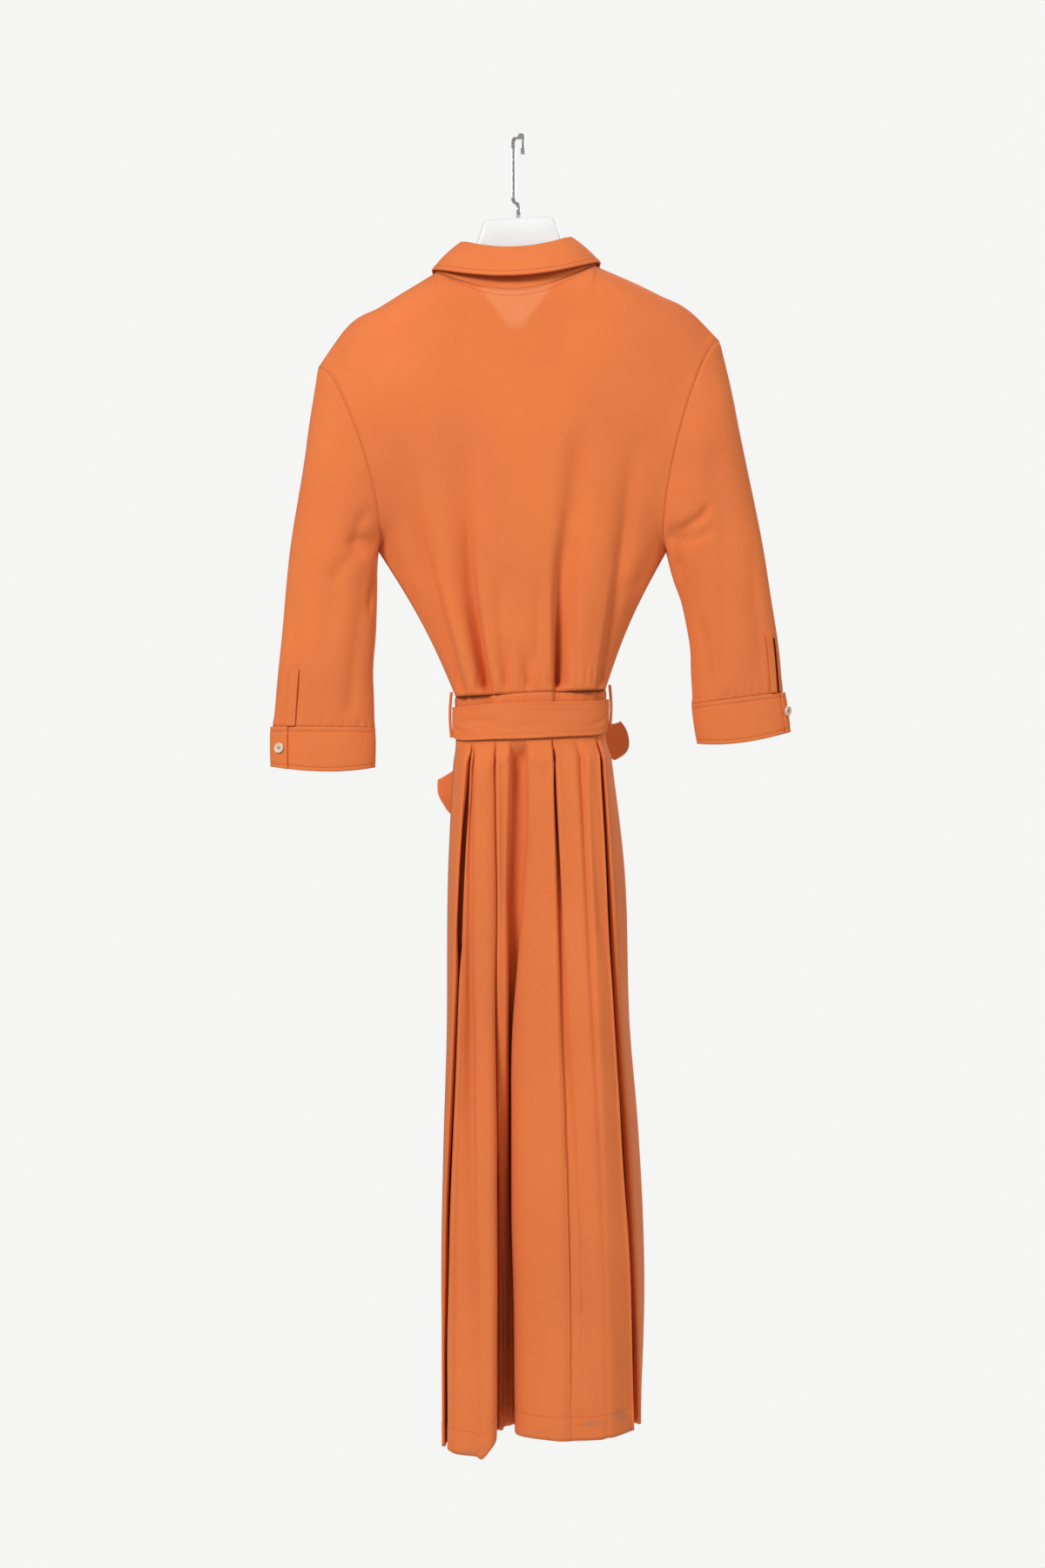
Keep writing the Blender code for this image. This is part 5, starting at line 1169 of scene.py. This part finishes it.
level, turn = np.meshgrid(np.linspace(-KNOT_CAP, KNOT_CAP, 49),
                          np.linspace(0, 2 * np.pi, 96, endpoint=False), indexing="ij")
width = np.cos(level) ** 0.5
wrap = (1.0 + 0.05 * np.sin(14.0 * level + 2.0 * np.sin(turn) + 1.5)
        + 0.03 * np.sin(23.0 * level + 3.0 * np.cos(turn)))
rings = KNOT_CENTRE + KNOT_HALF * np.stack([
    width * wrap * np.cos(turn), width * wrap * squared(np.sin(turn), 0.7), np.sin(level)], axis=-1)
belt_knot = end_capped("knot", rings, JERSEY)
belongs(belt_knot, "belt_knot")
bow_loop("left", (-84.5, 60.0, -713.0), (-1.7, 47.5, -634.0), 5.0)
bow_loop("right", (120.0, 58.0, -659.0), (26.5, 47.5, -632.0), 5.0)
belt_tail("left", (-14.0, 75.0, -985.0))
belt_tail("right", (38.0, 75.0, -1010.0))

# === Buttons =================================================================================
# Small ivory resin buttons with a dished face, a rolled rim and four holes, each sewn on
# through the cloth with a cross of orange thread.

BUTTON_DIAMETER, BUTTON_THICKNESS = 11.3, 2.6
FIRST_BUTTON, BUTTON_SPACING = 12.0, 96.0       # below the band's top, and to the next one
HOLE_RADIUS, HOLE_OFFSET = 0.85, 1.75
# along a thread from hole to hole: share of the holes' offset, height over the cloth, half width
THREAD_CROSSING = ((-1.0, 1.3, 0.2), (-0.5, 2.0, 0.32), (0.5, 2.0, 0.32), (1.0, 1.3, 0.2))
IVORY_PALE, IVORY_WARM = (0.800, 0.700, 0.545, 1.0), (0.640, 0.520, 0.370, 1.0)


def resin():
    """Ivory resin: faint clouding through the body, a soft gloss that wears dull in patches."""
    look, tree, shader, place = material("ivory_resin")
    wear = maths(tree, "MULTIPLY_ADD", noise(tree, place, 900.0, 2.0), 0.25, 0.18)
    plug(tree, shader, dict(
        Base_Color=mixed(tree, noise(tree, place, 180.0, 3.0), IVORY_PALE, IVORY_WARM),
        Roughness=wear, Subsurface_Weight=0.08, Subsurface_Scale=0.002))
    return look


IVORY = resin()


def button(name, replaced, centre, outwards):
    """Turned button: a profile carried about its axis, pressed in at four holes, and its thread."""
    beside = unit(np.cross(outwards, [0.0, 0.0, 1.0]))
    upright = np.cross(beside, outwards)
    radius = BUTTON_DIAMETER / 2
    profile = np.array([(0.5, 0.0), (radius - 0.7, 0.0), (radius - 0.15, 0.4), (radius, 1.1),
                        (radius - 0.2, 2.0), (radius - 0.7, BUTTON_THICKNESS), (radius - 1.2, 2.45),
                        (radius - 1.6, 1.9)]
                       + [(r, 1.75) for r in np.linspace(radius - 1.9, 0.15, 18)])
    around = np.linspace(0, 2 * np.pi, 56, endpoint=False)
    across = profile[:, :1] * np.cos(around)
    up = profile[:, :1] * np.sin(around)
    height = np.repeat(profile[:, 1:], 56, axis=1)
    face = (np.arange(len(profile)) > 6)[:, None]
    for turn in np.radians([45, 135, 225, 315]):
        away = np.hypot(across - HOLE_OFFSET * np.cos(turn), up - HOLE_OFFSET * np.sin(turn))
        height -= 1.3 * (1 - smooth_step(0.7, 1.0, away / HOLE_RADIUS)) * face
    rings = (centre + across[..., None] * beside + up[..., None] * upright
             + height[..., None] * outwards)
    made = end_capped(name, rings, IVORY)
    belongs(made, replaced)
    # the thread's cross from hole to hole, sunk a little at its ends
    bars = []
    for turn, over in ((np.radians(45), 0.0), (np.radians(135), 0.25)):
        way = np.cos(turn) * beside + np.sin(turn) * upright
        bars += [diamond(centre + way * HOLE_OFFSET * step + outwards * (high + over),
                         np.cross(outwards, way), outwards, half)
                 for step, high, half in THREAD_CROSSING]
    points = np.concatenate(bars)
    points[:, 2] += LEAN * points[:, 0]
    faces = np.concatenate([bar_faces(4), bar_faces(4) + 16])
    cross = build_mesh(name + "_thread", points, outward(points, faces), THREAD)
    belongs(cross)


path = np.concatenate([upper_band.mean(axis=1), lower_band.mean(axis=1)])
path[:, 1] = np.concatenate([upper_band[..., 1].max(axis=1), lower_band[..., 1].max(axis=1)])
heights = path[0, 2] - np.arange(FIRST_BUTTON, 1100.0, BUTTON_SPACING)
clear_of_belt = (heights <= BELT_BOTTOM_Z - 30.0) | (heights >= BELT_TOP_Z + 16.0)
for number, height in enumerate(heights[clear_of_belt], 1):
    place = through(-path[:, 2], path, np.array(-height))
    slope = through(-path[:, 2], path, np.array(4.0 - height)) - place
    outwards = unit(np.array([0.0, -slope[2], slope[1]]))
    button(f"button_{number}", f"front_button_{number}", place + outwards * 1.6, outwards)

for side, turn_degrees, drop in (("left", 36.0, 22.0), ("right", 16.0, 20.0)):
    turn = np.radians(turn_degrees)
    place = cuff_surface(side, turn, drop, CUFF_LAYER)
    along = cuff_surface(side, turn + 0.02, drop, CUFF_LAYER) - place
    outwards = np.array([along[1], -along[0], 0.0])
    outwards *= np.sign(-outwards[1]) / np.linalg.norm(outwards)
    button("cuff_stud_" + side, "cuff_button_" + side, place + outwards * 1.9, outwards)

# === Hanger ==================================================================================
# A moulded white plastic shoulder hanger: broad hollow-backed arms and a square neck block,
# with a chromed hook of flat steel pressed into the block.

HANGER = dict(
    place=[0.0, 34.0, 37.0, 39.5, 47.0, 62.0, 90.0, 125.0, 160.0, 182.0, 193.0],
    top=[-87.0, -87.3, -88.5, -93.0, -116.0, -132.0, -151.6, -169.0, -186.8, -202.5, -213.5],
    bottom=[-152.0, -152.0, -152.0, -152.0, -153.0, -160.0, -174.0, -192.0, -209.0, -219.0, -221.0],
    half_depth=[8.0, 8.0, 8.0, 8.0, 8.5, 9.0, 10.0, 11.0, 10.5, 7.0, 3.5])
WHITE, WHITE_SHADED = (0.800, 0.805, 0.800, 1.0), (0.640, 0.650, 0.650, 1.0)
CHROME_BRIGHT, CHROME_DULL = (0.720, 0.730, 0.750, 1.0), (0.480, 0.490, 0.510, 1.0)
HOOK_WIDTH, HOOK_THICKNESS, HOOK_CORNER, HOOK_REACH = 4.2, 2.4, 10.0, 18.5
HOOK_SHIFT, HOOK_TIP_SHIFT = -6.2, 4.0


def plain_look(name, first, second, scale, grain, rough, metallic, bump):
    """Moulded or plated finish: cloudy tone, fine grain in its gloss, a shallow relief."""
    look, tree, shader, place = material(name)
    share = maths(tree, "MULTIPLY_ADD", noise(tree, place, scale, 4.0), 1.1, -0.3)
    fine = noise(tree, place, grain, 3.0)
    plug(tree, shader, dict(
        Base_Color=mixed(tree, share, first, second), Metallic=metallic,
        Roughness=maths(tree, "MULTIPLY_ADD", fine, 0.2, rough),
        Normal=relief(tree, bump, 0.0002, fine)))
    return look


PLASTIC = plain_look("white_plastic", WHITE, WHITE_SHADED, 14.0, 700.0, 0.34, 0.0, 0.12)
CHROME = plain_look("chrome_plate", CHROME_BRIGHT, CHROME_DULL, 120.0, 2200.0, 0.06, 1.0, 0.05)

half = np.concatenate([np.linspace(0, 34, 8), np.linspace(34, 47, 20)[1:],
                       np.linspace(47, 193, 70)[1:]])
places = np.concatenate([-half[::-1], half[1:]])
turn = np.linspace(0, 2 * np.pi, 64, endpoint=False)
top, bottom, deep = (np.interp(np.abs(places), HANGER["place"], HANGER[key])[:, None]
                     for key in ("top", "bottom", "half_depth"))
squareness = (0.6 + 0.4 * smooth_step(40.0, 60.0, np.abs(places)))[:, None]
rings = np.stack([np.repeat(places[:, None], 64, axis=1),
                  deep * squared(np.cos(turn), squareness),
                  (top + bottom) / 2 + (top - bottom) / 2 * squared(np.sin(turn), squareness)],
                 axis=-1)
hanger_body = end_capped("hanger_arms", rings, PLASTIC)
belongs(hanger_body, "hanger_body")


def corner(middle_y, middle_z, start, end):
    """Quarter bend of the hook in the plane of x = 0: its middle plus the radius at each angle."""
    turn = np.radians(np.linspace(start, end, 24))
    return np.stack([middle_y + HOOK_CORNER * np.cos(turn),
                     middle_z + HOOK_CORNER * np.sin(turn)], axis=-1)


crown = HOOK_THICKNESS / 2 - HOOK_CORNER
bend = np.concatenate([[(-HOOK_REACH, -22.0), (-HOOK_REACH, -15.0)],
                       corner(-HOOK_REACH + HOOK_CORNER, crown, 180, 90),
                       corner(HOOK_REACH - HOOK_CORNER, crown, 90, 0),
                       [(HOOK_REACH, -30.0), (HOOK_REACH, -50.0), (HOOK_REACH, -60.0),
                        (HOOK_REACH - 0.5, -64.0), (10.0, -68.0), (1.5, -72.0), (0.0, -76.0),
                        (0.0, -87.0 - LEAN + SEAM_GAP)]])
path = np.concatenate([np.zeros((len(bend), 1)), bend], axis=1)
back = smooth_step(-HOOK_REACH, 0.0, path[:, 1]) * (np.arange(len(bend)) > 2)
path[:, 0] = HOOK_TIP_SHIFT * (1 - np.maximum.accumulate(back))
late = np.arange(len(bend)) > 26
path[late, 0] = HOOK_SHIFT * smooth_step(-4.0, HOOK_REACH - 2.0, path[late, 1])
along = np.gradient(path, axis=0)
along[:, 0] = 0.0
out = np.cross(unit(along), [1.0, 0.0, 0.0]) * HOOK_THICKNESS / 2
turn = np.linspace(0, 2 * np.pi, 32, endpoint=False)
wide = squared(np.cos(turn), 0.35)[:, None] * [HOOK_WIDTH / 2, 0.0, 0.0]
rings = path[:, None] + wide + squared(np.sin(turn), 0.45)[:, None] * out[:, None]
hanger_hook = end_capped("hook", rings, CHROME, leaning=False)
belongs(hanger_hook, "hanger_hook")

# === Studio ==================================================================================
# A plain pale floor under the hanging dress, large soft lamps and a camera at the back of the
# dress, level with its waist and 3.2 m away.

FLOOR_Z = -1780.0
CAMERA_AWAY, CAMERA_X, CAMERA_Z = 3200.0, 3.8, -698.0
PHOTO_SCALE, PHOTO_HEIGHT = 0.94, 1801.0        # millimetres a pixel at the dress, and pixels
SENSOR = 36.0
rim = np.linspace(0, 2 * np.pi, 96, endpoint=False)
radii = np.linspace(20.0, 750.0, 12)[:, None]
disc = np.stack([radii * np.cos(rim), radii * np.sin(rim), np.full((12, 96), FLOOR_Z)], axis=-1)
rings = np.concatenate([disc, disc[::-1] - [0.0, 0.0, 6.0]])
FLOOR = plain_look("pale_floor", (0.86, 0.86, 0.85, 1.0), (0.83, 0.83, 0.82, 1.0), 3.0, 400.0,
                   0.6, 0.0, 0.05)
floor = end_capped("floor", rings, FLOOR, leaning=False)

world = bpy.data.worlds.new("studio")
bpy.context.scene.world = world
world.use_nodes = True
background = world.node_tree.nodes["Background"]
seen_as = world.node_tree.nodes.new("ShaderNodeLightPath")
paper = mixed(world.node_tree, seen_as.outputs["Is Camera Ray"], (0.39, 0.39, 0.395, 1.0),
              (0.915, 0.915, 0.905, 1.0))
plug(world.node_tree, background, dict(Color=paper))


def lamp(name, place, aim, size, power):
    """Soft square lamp turned so that its face looks from its place to its aim."""
    light = bpy.data.lights.new(name, "AREA")
    light.shape, light.size, light.energy = "SQUARE", size, power
    made = bpy.data.objects.new(name, light)
    bpy.context.collection.objects.link(made)
    made.location = place
    made.rotation_euler = (Vector(aim) - Vector(place)).to_track_quat("-Z", "Y").to_euler()


lamp("key", (-1.9, -3.0, 1.2), (0.0, 0.0, -0.7), 1.1, 113.0)
lamp("side", (2.6, -1.8, 0.9), (0.0, 0.0, -0.4), 1.2, 30.0)
lamp("front", (1.2, 3.2, 1.0), (0.0, 0.0, -0.7), 1.6, 80.0)

camera_data = bpy.data.cameras.new("camera")
camera_data.sensor_width = SENSOR
camera_data.lens = SENSOR * CAMERA_AWAY / (PHOTO_SCALE * PHOTO_HEIGHT)
camera = bpy.data.objects.new("camera", camera_data)
bpy.context.collection.objects.link(camera)
camera.location = (CAMERA_X * MM, -CAMERA_AWAY * MM, CAMERA_Z * MM)
camera.rotation_euler = (0.5 * np.pi, 0.0, 0.0)
bpy.context.scene.camera = camera
bpy.context.scene.view_settings.view_transform = "Standard"
